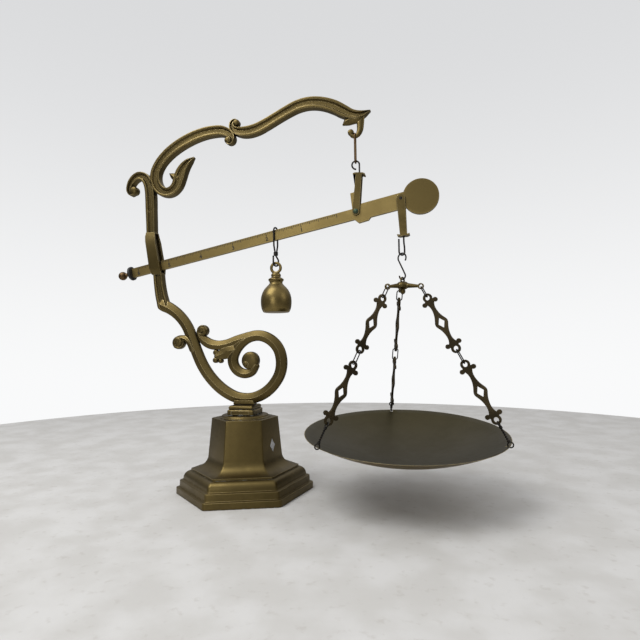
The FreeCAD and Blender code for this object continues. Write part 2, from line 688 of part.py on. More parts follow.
def shackle(label, height_text, round_radius, top_half, bottom_half, hole_text, placement):
    """A strap folded into a U: two plates with rounded ends on a pin, and a flange across the fold."""
    body = new_body(label)
    strap = new_sketch(body, label + "_strap", "XZ_Plane")
    end = str(round_radius)
    outline(
        strap,
        [
            (end, "0", end, 1),
            (str(top_half), f"{height_text} - flange / 2"),
            (str(-top_half), f"{height_text} - flange / 2"),
            ("-" + end, "0"),
            ("0", "-" + end, end, 1),
        ],
    )
    pad(body, strap, "2 * shackle_half")
    flange = new_sketch(body, label + "_flange", "XZ_Plane")
    outline(
        flange,
        [
            ("flange_half", f"{height_text} - flange * 1.5"),
            ("flange_half", f"{height_text} - flange * 0.6"),
            ("flange_half - 2.4", height_text),
            ("2.4 - flange_half", height_text),
            ("-flange_half", f"{height_text} - flange * 0.6"),
            ("-flange_half", f"{height_text} - flange * 1.5"),
            ("-" + str(bottom_half), f"{height_text} - flange"),
            (str(bottom_half), f"{height_text} - flange"),
        ],
    )
    pad(body, flange, "2 * shackle_half")
    slot = new_sketch(body, label + "_slot", "XZ_Plane")
    outline(
        slot,
        [("8", "-8"), ("8", f"{height_text} - flange"), ("-8", f"{height_text} - flange"), ("-8", "-8")],
    )
    pocket(body, slot, "2 * shackle_gap")
    hole = new_sketch(body, label + "_hole", "XZ_Plane")
    circle(hole, "0", "0", hole_text)
    pocket(body, hole, "4 * shackle_half")
    shank_hole = new_sketch(body, label + "_shank_hole", "XY_Plane")
    circle(shank_hole, "0", "0", "wire + 0.35")
    pocket(body, shank_hole, f"2 * ({height_text}) + 4")
    keep(body, label, placement)


make_hook_link()
make_fulcrum_hook()
fulcrum_hole = "fulcrum_pin_radius + running"
shackle("fulcrum_shackle", "fulcrum_shackle_height", 3.9, 3.2, 3.2, fulcrum_hole, fulcrum_shackle_place)

# ---------------------------------------------------------------- the beam

beam_place = Placement(fulcrum, turned_about(BACK, -size("beam_slope")))
load = beam_place.multVec(Vector(size("load_arm"), 0, size("load_rise")))


def make_beam_bar():
    """The graduated bar with its deeper head, the lug under the fulcrum and the end disc, in one piece."""
    body = new_body("beam_bar")
    bar = new_sketch(body, "beam_bar_outline", "XZ_Plane")
    outline(
        bar,
        [
            ("-beam_tail", "-beam_tail_bottom"),
            ("-beam_tail", "beam_tail_top"),
            ("3.6", "beam_top"),
            ("3.6", "head_top"),
            ("disc_arm - 15.5", "head_top + 0.3"),
            ("disc_arm - 15.5", "-head_bottom"),
            ("14.5", "-head_bottom"),
            ("11.5", "-head_bottom - 2.7"),
            ("0.5", "-head_bottom - 3.1"),
            ("-3.5", "-beam_bottom"),
        ],
    )
    pad(body, bar, "2 * beam_half")
    end_disc = new_sketch(body, "beam_bar_disc", "XZ_Plane")
    circle(end_disc, "disc_arm", "-disc_drop", "disc_radius")
    pad(body, end_disc, "2 * beam_half")
    holes = new_sketch(body, "beam_bar_holes", "XZ_Plane")
    circle(holes, "0", "0", "fulcrum_pin_radius + 0.02")
    circle(holes, "load_arm", "load_rise", "load_pin_radius + 0.02")
    pocket(body, holes, "4 * beam_half")
    socket = new_sketch(body, "beam_bar_socket", "YZ_Plane")
    socket.setExpression("AttachmentOffset.Base.z", bound("-beam_tail"))
    circle(socket, "0", "(beam_tail_top - beam_tail_bottom) / 2", "tip_stem + 0.02")
    pocket(body, socket, "12")
    keep(body, "beam_bar", beam_place)


def make_beam_fittings():
    """The tongue over the fulcrum, the pins, and the washer and ball on the tail."""
    tongue = new_body("balance_tongue")
    side = new_sketch(tongue, "balance_tongue_outline", "XZ_Plane")
    foot = [("-3.7", "beam_top"), ("3.5", "beam_top")]
    outline(side, foot + [("2.6", "tongue_height"), ("-2.3", "tongue_height")])
    pad(tongue, side, "3")
    keep(tongue, "balance_tongue", beam_place * Placement(Vector(0, 0, 0.03), Rotation()))

    crosswise = Placement(Vector(), turned_about(ACROSS, 90))
    shaft = "fulcrum_pin_radius"
    inner = "shackle_half + 0.12"
    rim = "pin_head_radius"
    near_head = [("0", f"-({inner} + 1.2)"), (rim, f"-({inner} + 0.35)"), (rim, f"-({inner})")]
    far_head = [(rim, inner), (rim, f"{inner} + 0.35"), ("0", f"{inner} + 1.2")]
    corners = near_head + [(shaft, f"-({inner})"), (shaft, inner)] + far_head
    revolved("fulcrum_pin", corners, beam_place * crosswise)
    reach = "shackle_half + 0.4"
    revolved(
        "load_pin",
        [("0", f"-({reach})"), ("load_pin_radius", f"-({reach})"), ("load_pin_radius", reach), ("0", reach)],
        beam_place * Placement(Vector(size("load_arm"), 0, size("load_rise")), Rotation()) * crosswise,
    )

    tail = Vector(-size("beam_tail"), 0, size("(beam_tail_top - beam_tail_bottom) / 2"))
    outwards = beam_place * Placement(tail, turned_about(BACK, -90))
    thick = "2 * washer_half"
    rim = "washer_radius"
    revolved(
        "stop_washer",
        [
            ("tip_stem + 0.05", "0.02"),
            (f"{rim} - 0.8", "0.02"),
            (rim, "0.82", "0.8", 1),
            (rim, f"{thick} - 0.8"),
            (f"{rim} - 0.8", thick, "0.8", 1),
            ("tip_stem + 0.05", thick),
        ],
        outwards,
    )
    centre = "ball_height"
    revolved(
        "tip_ball",
        [
            ("0", "-5.5"),
            ("tip_stem", "-5.5"),
            ("tip_stem", f"{thick} + 0.02"),
            ("3.4", f"{thick} + 0.02"),
            ("3.4", f"{thick} + 1.6"),
            ("2.2", f"{thick} + 2.6"),
            ("2.2", f"{centre} - sqrt(ball_radius^2 - 2.2^2)"),
            ("ball_radius", centre, "ball_radius", 1),
            ("0", f"{centre} + ball_radius", "ball_radius", 1),
        ],
        outwards,
    )


make_beam_bar()
make_beam_fittings()

# ---------------------------------------------------------------- the poise

poise_x = size("poise_x")
poise_local = (poise_x - fulcrum.x) / math.cos(math.radians(size("beam_slope")))
beam_top_z = beam_place.multVec(Vector(poise_local, 0, size("beam_top"))).z
EYE_Z = 250.4


def yawed(x, degrees):
    """A placement that turns the XZ plane about the upright line at the given x."""
    return Placement(Vector(x, 0, 0), turned_about(UP, degrees))


def make_poise_hook():
    """A wire bail over the beam, bound at the bottom, with an open hook under the binding."""
    bail_half = 3.6
    bail_top = beam_top_z + 3.0
    wire_radius = wire + 0.05
    bail = rod(
        [
            flat(-1.0, 266.0),
            flat(-bail_half, 276.0),
            flat(-bail_half, bail_top),
            flat(bail_half, bail_top),
            flat(bail_half, 276.0),
            flat(1.0, 266.0),
        ],
        [8.0, bail_half, bail_half, 8.0],
        wire_radius,
    )
    bail.Placement = yawed(poise_x, 73)
    eye_top = EYE_Z + size("poise_eye")
    turn = 3.7
    low = eye_top - 3.3
    hook = rod(
        [
            flat(-turn, 264.0),
            flat(-turn, low),
            flat(turn, low),
            flat(turn, 259.6),
            flat(0, 264.6),
            flat(0, 268.0),
        ],
        [turn, turn, 2.0, 2.0],
        wire_radius,
    )
    hook.Placement = yawed(poise_x, 58)
    binding = [Part.makeTorus(1.9, 0.75, Vector(poise_x, 0, z), UP) for z in (265.2, 266.5, 267.8)]
    core = Part.makeCylinder(1.95, 3.6, Vector(poise_x, 0, 264.7), UP)
    made("poise_hook", joined([bail, hook, core] + binding))


def make_poise_weight():
    """A bell-shaped turned weight with a collar, a neck ring and an eye on top."""
    mouth = "poise_mouth"
    full = "poise_radius"
    collar = "poise_collar"
    body = revolved_solid(
        [
            (0, 199.6),
            (size(mouth) - 1, 199.6),
            (size(mouth), 200.6),
            (size(f"{mouth} + 0.62 * ({full} - {mouth})"), 205.5),
            (size(full) - 0.15, 211.5),
            (size(full), 214.0),
            (size(full) - 0.5, 217.2),
            (size(full) - 2.2, 220.6),
            (size(full) - 5.4, 224.2),
            (size(full) - 8.4, 227.2),
            (size(full) - 10.2, 230.0),
            (size(full) - 10.6, 233.0),
            (size(collar) - 0.9, 235.2),
            (size(collar), 236.2),
            (size(collar), 237.6),
            (size(collar) - 1.4, 238.8),
            (5.0, 239.8),
            (5.6, 241.2),
            (5.4, 243.0),
            (4.0, 244.6),
            (0, 245.6),
        ]
    )
    ring = Part.makeTorus(size("poise_eye"), size("poise_eye_bar"), Vector(0, 0, EYE_Z), BACK)
    weight = joined([body, ring])
    made("poise_weight", weight, Placement(Vector(poise_x, 0, 0), Rotation()))


make_poise_hook()
make_poise_weight()

# ---------------------------------------------------------------- the load's hanging parts

HANG_X = 180.3
load_shackle_turn = turned_about(BACK, -size("load_shackle_lean")) * turned_about(ACROSS, 180)
load_shackle_place = Placement(load, load_shackle_turn)
shackle("load_shackle", "load_shackle_height", 4.6, 3.6, 3.6, "load_pin_radius + running", load_shackle_place)


def make_load_hook():
    """A wire J that turns in the load shackle's flange and carries the S-hook in its bend."""
    hole = load_shackle_place.multVec(Vector(0, 0, size("load_shackle_height") - size("flange") / 2))
    turn = 3.6
    sideways = turned_about(UP, 40).multVec(ACROSS) * turn
    middle = Vector(HANG_X, 0, 0)
    low = 256.9
    top = hole.z + 1.6
    points = [
        Vector(hole.x, 0, top),
        Vector(hole.x, 0, 271.0),
        middle + sideways + UP * 265.0,
        middle + sideways + UP * low,
        middle - sideways + UP * low,
        middle - sideways + UP * 274.0,
    ]
    hook = rod(points, [5.0, 5.0, turn, turn], wire)
    head = Part.makeCylinder(1.8, 0.8, Vector(hole.x, 0, top - 0.3), UP)
    made("load_hook", joined([hook, head]))


def make_s_hook():
    """A wire S: a wide hook over the J and a small hook through the spider's eye."""
    thin = wire - 0.1
    upper = flat(0, 253.85)
    lower = flat(0, 234.45)
    wide_turn = 5.0
    tight_turn = 3.7
    lean = math.degrees(math.asin((wide_turn + tight_turn) / (upper - lower).Length))
    solids = [
        round_bend(upper, wide_turn, -40, 180 + lean, thin),
        straight(round_point(upper, wide_turn, 180 + lean), round_point(lower, tight_turn, lean), thin),
        round_bend(lower, tight_turn, lean, -190, thin),
    ]
    made("s_hook", joined(solids), yawed(HANG_X, -30))


make_load_hook()
make_s_hook()

# ---------------------------------------------------------------- the pan and its hanger

CHAINS = [("back", 103), ("left", 223), ("right", 343)]
hub_z = size("hub_height")
hub_axis = Vector(HANG_X, 0, 0)
pan_rotation = turned_about(ACROSS, size("pan_lift")) * turned_about(BACK, size("pan_dip"))
pan_place = Placement(Vector(178.9, -1.2, size("pan_height")), pan_rotation)
EYE_DROP = 2.2


def heading(degrees):
    return turned_about(UP, degrees).multVec(ACROSS)


def make_spider():
    """A turned hub with a ring on top and three tapered arms that end in small upright eyes."""
    hub = revolved_solid(
        [
            (0, 214.6),
            (1.4, 215.0),
            (2.6, 216.6),
            (2.9, 218.2),
            (2.4, 219.8),
            (4.4, 220.6),
            (6.3, 222.4),
            (6.6, 224.2),
            (6.0, 226.2),
            (4.4, 227.8),
            (2.4, 228.5),
            (0, 228.6),
        ]
    )
    ring = Part.makeTorus(2.9, 0.9, Vector(0, 0, 229.8), heading(150))
    solids = [hub, ring]
    reach = size("arm_length")
    for name, azimuth in CHAINS:
        out = heading(azimuth)
        start = out * 2.0 + UP * hub_z
        end = out * (reach - 2.6) + UP * (hub_z - EYE_DROP * 0.85)
        solids.append(Part.makeCone(3.0, 1.5, (end - start).Length, start, end - start))
        solids.append(eye_plate(out * reach + UP * (hub_z - EYE_DROP), heading(azimuth + 90), 3.2, 1.0))
    hub = joined(solids)
    for name, azimuth in CHAINS:
        middle = heading(azimuth) * reach + UP * (hub_z - EYE_DROP)
        hub = hub.cut(eye_plate(middle, heading(azimuth + 90), 1.9, 3.0))
    made("pan_spider", hub, Placement(hub_axis, Rotation()))


def eye_plate(centre, axis, radius, half):
    return Part.makeCylinder(radius, 2 * half, centre - axis * half, axis)


def make_pan():
    """A shallow dish pressed from sheet, with three holes near the rim."""
    sphere = "((pan_radius^2 + pan_depth^2) / (2 * pan_depth))"
    inner = f"sqrt(({sphere} - pan_sheet)^2 - ({sphere} - pan_depth)^2)"
    body = new_body("pan")
    section = new_sketch(body, "pan_section", "XZ_Plane")
    outline(
        section,
        [
            ("0", "-pan_depth"),
            ("pan_radius", "0", sphere, 1),
            (inner, "0"),
            ("0", "pan_sheet - pan_depth", f"{sphere} - pan_sheet", -1),
        ],
    )
    feature = body.newObject("PartDesign::Revolution", "pan_turning")
    feature.Profile = section
    feature.ReferenceAxis = (section, ["V_Axis"])
    feature.Angle = 360
    doc.recompute()
    holes = new_sketch(body, "pan_holes", "XY_Plane")
    for name, azimuth in CHAINS:
        reach = "(pan_radius - 3.2)"
        circle(holes, f"{reach} * cos({azimuth})", f"{reach} * sin({azimuth})", "1.7")
    pocket(body, holes, "3 * pan_depth")
    keep(body, "pan", pan_place)


def chain_link():
    """A flat cast link: a ring and two lobes at each end, a waist, and a pierced lozenge in the middle."""
    half = size("link_length / 2")
    thick = size("link_half")
    inner = half - 5.3
    lobe = 6.3
    waist = [(23.5, 9.0), (20.0, 5.2), (15.0, 4.2), (10.5, 5.6), (5.5, 9.2), (0.0, 13.4)]
    stations = [(0.0, -z, width) for z, width in waist]
    stations += [(0.0, z, width) for z, width in reversed(waist[:-1])]
    outlines = [strip(stations)]
    for sign in (1, -1):
        outlines.append(disc(0, sign * half, size("ring_radius")))
        outlines += [disc(side * lobe, sign * inner, 2.4) for side in (1, -1)]
        shoulder = sign * (inner - 1)
        tip = sign * half
        outlines.append(plate([(-lobe, shoulder), (lobe, shoulder), (3.0, tip), (-3.0, tip)]))
    link = joined([slab(face, thick) for face in outlines])
    for sign in (1, -1):
        link = link.cut(slab(disc(0, sign * half, size("ring_hole")), 2 * thick))
    lozenge = plate([(3.8, 0), (0, 5.9), (-3.8, 0), (0, -5.9)])
    return link.cut(slab(lozenge, 2 * thick))


def along_chain(start, along, distance, thickness_axis):
    """A placement at a distance down the chain: its Z runs up the chain and its Y along the given axis."""
    turned = Rotation(thickness_axis.cross(-along), thickness_axis, -along, "ZYX")
    return Placement(start + along * distance, turned)


def pan_wire(hole_centre, edge_centre, plane_axis, along):
    """A wire with a round eye in the last link's ring, a twisted shank and an eye through the pan's hole."""
    thin = size("chain_wire")
    turn = 3.0
    upper = hole_centre + along * 4.3
    shank_start = upper + along * (turn - 0.3)
    shank_end = edge_centre - along * (turn - 0.3)
    solids = [
        Part.makeTorus(turn, thin, upper, along.cross(plane_axis)),
        Part.makeTorus(turn, thin, edge_centre, plane_axis),
        straight(shank_start, shank_end, 1.0),
    ]
    return joined(solids)


def make_chains():
    """Three chains: a wire loop, two cast links with a loop between them, and a wire to the pan's rim."""
    link_shape = chain_link()
    reach = size("arm_length")
    length = size("link_length")
    gap = size("link_gap")
    top_gap = 14.7
    loop_half = 3.0
    thin = size("chain_wire")
    rim = size("pan_radius")
    slope = math.asin(rim / size("(pan_radius^2 + pan_depth^2) / (2 * pan_depth)"))
    for name, azimuth in CHAINS:
        out = heading(azimuth)
        start = hub_axis + out * reach + UP * (hub_z - EYE_DROP)
        edge = pan_place.multVec(out * (rim - 0.6) + UP * (1.5 / math.cos(slope) - 0.6 * math.tan(slope)))
        along = (edge - start).normalize()
        sideways = UP.cross(along).normalize()
        radial = sideways.cross(along)
        loop = stadium(top_gap - 0.75 - 1.3, loop_half, thin)
        middle = 0.75 + (top_gap - 0.75 - 1.3) / 2
        made(f"spider_wire_{name}", loop, along_chain(start, along, middle, radial))
        upper_link = top_gap + length / 2
        made(f"chain_link_{name}_upper", link_shape, along_chain(start, along, upper_link, sideways))
        loop = stadium(gap - 2.6, loop_half, thin)
        made(f"chain_wire_{name}", loop, along_chain(start, along, top_gap + length + gap / 2, radial))
        lower_link = upper_link + length + gap
        made(f"chain_link_{name}_lower", link_shape, along_chain(start, along, lower_link, sideways))
        hole = start + along * (lower_link + length / 2)
        made(f"pan_wire_{name}", pan_wire(hole, edge, sideways, along))


make_spider()
make_chains()
make_pan()

# ---------------------------------------------------------------- checks and export


def check_and_export():
    """Stops on any broken object, then writes every sub-part to its own file."""
    doc.recompute()
    for item in doc.Objects:
        if "Invalid" in item.State or "Error" in item.State:
            raise RuntimeError(f"{item.Name} is {item.State}")
    os.makedirs("parts", exist_ok=True)
    for piece in SUBPARTS:
        shape = piece.Shape
        if shape.isNull() or not shape.isValid() or shape.Volume <= 0:
            raise RuntimeError(f"{piece.Label} has no valid shape")
        if len(shape.Solids) != 1:
            raise RuntimeError(f"{piece.Label} is in {len(shape.Solids)} pieces")
        shape.exportStep(f"parts/{piece.Label}.step")
        print(piece.Label, round(shape.Volume / 1000, 2))


check_and_export()
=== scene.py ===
"""The finished look of a brass steelyard scale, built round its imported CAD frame. Sizes are in metres."""

import json
import math

import bpy
import bmesh
import numpy as np
from bpy.props import FloatProperty, FloatVectorProperty, PointerProperty
from mathutils import Matrix, Vector

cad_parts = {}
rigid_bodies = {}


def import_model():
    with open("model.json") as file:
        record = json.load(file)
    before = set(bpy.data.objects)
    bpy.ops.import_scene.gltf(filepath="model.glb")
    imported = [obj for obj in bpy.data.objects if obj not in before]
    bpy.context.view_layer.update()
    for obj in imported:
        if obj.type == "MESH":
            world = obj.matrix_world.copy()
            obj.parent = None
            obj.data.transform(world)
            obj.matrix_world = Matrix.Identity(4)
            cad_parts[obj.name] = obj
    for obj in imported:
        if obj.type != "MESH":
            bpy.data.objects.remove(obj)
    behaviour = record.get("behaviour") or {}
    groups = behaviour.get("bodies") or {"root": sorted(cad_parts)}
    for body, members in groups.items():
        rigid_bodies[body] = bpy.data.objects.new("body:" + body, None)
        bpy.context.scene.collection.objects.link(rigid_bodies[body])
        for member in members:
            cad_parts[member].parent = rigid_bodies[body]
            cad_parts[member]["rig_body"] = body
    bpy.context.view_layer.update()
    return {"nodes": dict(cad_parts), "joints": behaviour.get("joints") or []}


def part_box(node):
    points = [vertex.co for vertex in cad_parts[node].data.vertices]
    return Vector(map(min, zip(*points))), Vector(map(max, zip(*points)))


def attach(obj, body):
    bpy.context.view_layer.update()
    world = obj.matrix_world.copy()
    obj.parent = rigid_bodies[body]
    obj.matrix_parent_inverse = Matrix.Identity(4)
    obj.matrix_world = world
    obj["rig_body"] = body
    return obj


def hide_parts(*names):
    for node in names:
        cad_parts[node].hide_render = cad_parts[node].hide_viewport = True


bl_info = {
    "name": "Brass steelyard scale",
    "version": (1, 0, 0),
    "blender": (4, 5, 0),
    "location": "3D View > Sidebar > Steelyard",
    "description": "Builds the castings, beam, poise, chains and pan of a brass steelyard scale",
    "category": "Add Mesh",
}

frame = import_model()
joints = {joint["name"]: joint for joint in frame["joints"]}
MM = 0.001
CHAINS = ("back", "left", "right")
SQUARE_CORNER = math.sqrt(2)
CORNER = math.radians(35)  # faces that meet at a larger angle keep a sharp edge
ODD_WAY = [0.31, 0.87, 0.39]  # a direction that no part's axis shares

# The pedestal in millimetres: radii are to the corners of its hexagon.
HEXAGON_TURN = 19.4
TOP_RADIUS = 37.4
NECK_RADIUS, NECK_HEIGHT = 41.5, 41.0
SKIRT_RADIUS, SKIRT_HEIGHT = 60.6, 26.8

# The beam's marks, in metres along the beam from the fulcrum and across it.
FIRST_MARK = -0.022
MARKS = 121
MARKS_PER_FIGURE = 20


# ---------------------------------------------------------------- numpy surfaces


def unit(vectors):
    """The vectors scaled to a length of one."""
    return vectors / np.maximum(np.linalg.norm(vectors, axis=-1, keepdims=True), 1e-12)


def softened(corners, reach, steps=5, closed=False):
    """A polyline with eased corners: each is a quadratic curve between points a reach away on both sides."""
    points = np.array(corners, float)
    before = np.roll(points, 1, axis=0) - points
    after = np.roll(points, -1, axis=0) - points
    near = np.minimum(np.linalg.norm(before, axis=1), np.linalg.norm(after, axis=1))
    cut = np.minimum(reach, 0.45 * near)[:, None]
    start = (points + unit(before) * cut)[:, None]
    end = (points + unit(after) * cut)[:, None]
    t = np.linspace(0, 1, steps)[None, :, None]
    eased = (1 - t) ** 2 * start + 2 * t * (1 - t) * points[:, None] + t**2 * end
    if closed:
        return eased.reshape(-1, points.shape[1])
    inner = eased[1:-1].reshape(-1, points.shape[1])
    return np.vstack([points[:1], inner, points[-1:]])


def flowing(points, count):
    """A smooth curve through the points: cubic Hermite pieces whose slopes are differences along the chord."""
    points = np.array(points, float)
    chord = np.linalg.norm(np.diff(points[:, :2], axis=0), axis=1)
    at = np.concatenate([[0], np.cumsum(chord)])
    slope = np.gradient(points, at, axis=0)
    t = np.linspace(0, at[-1], count)
    piece = np.clip(np.searchsorted(at, t, side="right") - 1, 0, len(at) - 2)
    span = (at[piece + 1] - at[piece])[:, None]
    u = ((t - at[piece])[:, None]) / span
    a, b = points[piece], points[piece + 1]
    da, db = slope[piece] * span, slope[piece + 1] * span
    leaving = (2 * u**3 - 3 * u**2 + 1) * a + (u**3 - 2 * u**2 + u) * da
    return leaving + (3 * u**2 - 2 * u**3) * b + (u**3 - u**2) * db


class Shell:
    """Collects closed surfaces, each a grid of rows of points, and turns them into one mesh piece."""

    def __init__(self):
        self.points = []
        self.faces = []
        self.count = 0

    def add(self, grid, ring=False):
        """Rows are closed loops. The first and last are closed to their middles, or to each other if ring."""
        rows, columns = grid.shape[:2]
        index = np.arange(rows * columns).reshape(rows, columns)
        last = rows if ring else rows - 1
        lower = index[np.arange(last)]
        upper = index[(np.arange(last) + 1) % rows]
        quads = np.stack([lower, np.roll(lower, -1, 1), np.roll(upper, -1, 1), upper], axis=-1).reshape(-1, 4)
        points = grid.reshape(-1, 3)
        faces = quads.tolist()
        triangles = np.vstack([quads[:, [0, 1, 2]], quads[:, [0, 2, 3]]])
        if not ring:
            middles = np.array([grid[0].mean(0), grid[-1].mean(0)])
            points = np.vstack([points, middles])
            low, high = rows * columns, rows * columns + 1
            first, end = index[0], index[-1]
            bottom = np.stack([np.roll(first, -1), first, np.full(columns, low)], axis=-1)
            top = np.stack([end, np.roll(end, -1), np.full(columns, high)], axis=-1)
            faces += bottom.tolist() + top.tolist()
            triangles = np.vstack([triangles, bottom, top])
        a, b, c = (points[triangles[:, k]] for k in range(3))
        if np.einsum("ij,ij->i", a, np.cross(b, c)).sum() < 0:
            faces = [face[::-1] for face in faces]
        self.points.append(points)
        self.faces += [[self.count + v for v in face] for face in faces]
        self.count += len(points)
        return self

    def piece(self, name, material, body, slot, replaced=()):
        """One smooth mesh with its corners kept sharp."""
        mesh = bpy.data.meshes.new(name)
        mesh.from_pydata(np.vstack(self.points).tolist(), [], self.faces)
        mesh.validate()
        mesh.shade_smooth()
        mesh.set_sharp_from_angle(angle=CORNER)
        return placed(mesh, name, material, body, replaced)


def placed(mesh, name, material, body, replaced=()):
    """Links a finished mesh as a piece that rides on a body and stands for CAD nodes."""
    piece = bpy.data.objects.new(name, mesh)
    bpy.context.scene.collection.objects.link(piece)
    mesh.materials.clear()
    mesh.materials.append(material)
    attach(piece, body)
    if replaced:
        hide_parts(*replaced)
    return piece


def turned(profile, columns=72):
    """A surface of revolution about Z: each (radius, height) of the profile becomes a circle of points."""
    profile = np.array(profile, float)
    angle = np.linspace(0, 2 * np.pi, columns, endpoint=False)
    ring = np.stack([np.cos(angle), np.sin(angle), np.zeros(columns)], axis=-1)
    return profile[:, 0, None, None] * ring + profile[:, 1, None, None] * np.array([0, 0, 1])


def prismatic(profile, sides, turn, ease=0.035):
    """A many-sided wall: each (corner radius, height) becomes a regular polygon with slightly eased corners."""
    profile = np.array(profile, float)
    corner = np.radians(turn) + 2 * np.pi * np.arange(sides) / sides
    outline = softened(np.stack([np.cos(corner), np.sin(corner)], axis=-1), ease, 5, closed=True)
    ring = np.column_stack([outline, np.zeros(len(outline))])
    return profile[:, 0, None, None] * ring + profile[:, 1, None, None] * np.array([0, 0, 1])


def ring_of(radius, bar, centre, axis, columns=48, around=16):
    """A torus: a circle of the bar's radius carried round a circle about the axis."""
    axis = np.array(axis, float) / np.linalg.norm(axis)
    side = unit(np.cross(axis, ODD_WAY))
    other = np.cross(axis, side)
    a = np.linspace(0, 2 * np.pi, columns, endpoint=False)[:, None, None]
    b = np.linspace(0, 2 * np.pi, around, endpoint=False)[None, :, None]
    out = np.cos(a) * side + np.sin(a) * other
    return np.array(centre) + out * (radius + bar * np.cos(b)) + axis * (bar * np.sin(b))


# ---------------------------------------------------------------- casting sections and members

# Places across a section from one edge (-1) to the other (1), closer together at the edges.
SIDE = np.array([0.0, 0.03, 0.07, 0.13, 0.2, 0.25, 0.3, 0.36, 0.43, 0.5])
ACROSS = np.concatenate([SIDE, 1 - SIDE[-2::-1]]) * 2 - 1


def eased_edge(a):
    """The share of its depth that a section keeps near its edges, so that they are slightly rounded."""
    return np.where(np.abs(a) > 0.98, 0.62, np.where(np.abs(a) > 0.9, 0.93, 1))


def roof(a, depth):
    """A ridge along the middle: the half depth falls in a straight slope to a thin, slightly rounded edge."""
    fall = 1 - np.abs(a)
    return depth * (0.46 + 0.54 * fall**0.92) * eased_edge(a)


def fluted(a, depth):
    """Two raised rims with a channel between them: the depth climbs along an S curve from channel to rim."""
    rise = np.clip((np.abs(a) - 0.3) / 0.26, 0, 1)
    rims = rise * rise * (3 - 2 * rise)
    return depth * (0.5 + 0.5 * rims) * eased_edge(a)


def oval(a, depth):
    """A rounded bar: the half depth follows a circle."""
    return depth * np.sqrt(np.maximum(1 - a**2, 0.02))


def member(stations, section, depth, start="round", end="round", spacing=1.6):
    """A section carried along a curve in the XZ plane. Stations are (x, z, width) in millimetres.

    Each row of points is the section across the curve's normal, thinner where the member is narrow, and rounded
    ends shrink it along a quarter circle.
    """
    table = np.array(stations, float)
    length = np.linalg.norm(np.diff(table[:, :2], axis=0), axis=1).sum()
    line = flowing(table, max(6, int(length / spacing)))
    along = unit(np.gradient(line[:, :2], axis=0))
    scale = np.ones(len(line))
    reach = np.array([0.35, 0.62, 0.82, 0.94, 0.99])
    for which, style in ((0, start), (-1, end)):
        if style != "round":
            continue
        sign = -1 if which == 0 else 1
        push = line[which, :2] + sign * along[which] * (reach[:, None] * line[which, 2] / 2)
        rows = np.column_stack([push, np.full(len(reach), line[which, 2])])
        shrink = np.sqrt(1 - reach**2)
        turns = np.repeat(along[which][None], len(reach), axis=0)
        if which == 0:
            line, along = np.vstack([rows[::-1], line]), np.vstack([turns, along])
            scale = np.concatenate([shrink[::-1], scale])
        else:
            line, along = np.vstack([line, rows]), np.vstack([along, turns])
            scale = np.concatenate([scale, shrink])
    normal = np.column_stack([-along[:, 1], along[:, 0]])
    half = (line[:, 2] / 2 * scale)[:, None]
    thin = np.minimum(1.0, 0.35 + line[:, 2] / 9.0)
    high = (np.minimum(scale * 1.15, 1.0) * thin)[:, None]
    front = section(ACROSS, depth)[None] * high
    x = line[:, 0, None] + normal[:, 0, None] * half * ACROSS
    z = line[:, 1, None] + normal[:, 1, None] * half * ACROSS
    face = np.stack([x, -front, z], axis=-1)
    back = np.stack([x, front, z], axis=-1)[:, ::-1]
    return np.concatenate([face, back], axis=1) * MM


def boss(x, z, radius, depth, groove=0, hand=1, start=0.0, turns=1.2):
    """A domed volute eye about the Y axis, with a spiral groove if asked.

    The dome is the root of one minus a power of the radius, and the groove lies where the radius keeps pace
    with the angle.
    """
    reach = np.sin(np.linspace(0.03, np.pi / 2, 22)) * 0.999
    angle = np.linspace(0, 2 * np.pi, 64, endpoint=False)
    rho, theta = np.meshgrid(reach, angle, indexing="ij")
    dome = (1 - rho**2.8) ** 0.5
    phase = (hand * theta / (2 * np.pi) + start + rho * turns) % 1
    fade = np.clip((rho - 0.12) * 5, 0, 1) * np.clip((0.93 - rho) * 8, 0, 1)
    cut = groove * np.exp(-(((phase - 0.5) / 0.13) ** 2)) * fade
    high = depth * (0.42 + 0.58 * dome) - cut
    right = x + radius * rho * np.cos(theta)
    above = z + radius * rho * np.sin(theta)
    front = np.stack([right, -high, above], axis=-1)
    back = np.stack([right, high, above], axis=-1)
    return np.concatenate([front, back[::-1]], axis=0) * MM


# Centre lines of the castings' members, as (x, z, width) in millimetres.
LOOP = [
    (-103.7, 212.5, 14.5), (-94.5, 208.0, 13.6), (-84.5, 200.8, 13.2), (-74.0, 188.6, 13.2),
    (-66.2, 172.5, 13.6), (-60.0, 156.0, 13.8), (-52.3, 140.0, 13.8), (-40.6, 124.2, 13.6),
    (-25.0, 111.0, 13.4), (-8.8, 103.6, 12.8), (8.0, 103.0, 12.6), (22.6, 108.4, 12.6),
    (34.9, 119.0, 12.6), (42.4, 132.0, 12.8), (44.0, 146.4, 13.0), (40.3, 159.2, 12.8),
    (31.4, 168.8, 12.6), (19.0, 173.8, 12.3), (6.4, 172.4, 12.0), (-4.6, 165.4, 12.0),
    (-12.0, 155.6, 12.3), (-14.6, 146.0, 12.4), (-12.0, 138.0, 12.0), (-5.6, 132.4, 11.4),
    (2.2, 130.8, 10.4), (9.0, 133.4, 9.6), (13.0, 139.2, 8.4),
]
BRANCH = [
    (6.0, 172.6, 12.0), (-9.5, 168.6, 11.6), (-22.0, 164.8, 10.8), (-33.0, 163.6, 11.0),
    (-43.5, 165.6, 11.6), (-51.4, 170.6, 10.6), (-56.0, 175.6, 7.0), (-56.8, 181.4, 5.0),
    (-52.6, 185.3, 4.4), (-48.4, 183.4, 4.0),
]
LEFT_CURL = [
    (-64.0, 160.0, 11.0), (-69.0, 168.6, 9.6), (-76.0, 172.6, 7.0), (-83.4, 173.1, 5.2),
    (-88.6, 169.0, 4.6), (-87.6, 163.0, 4.2),
]
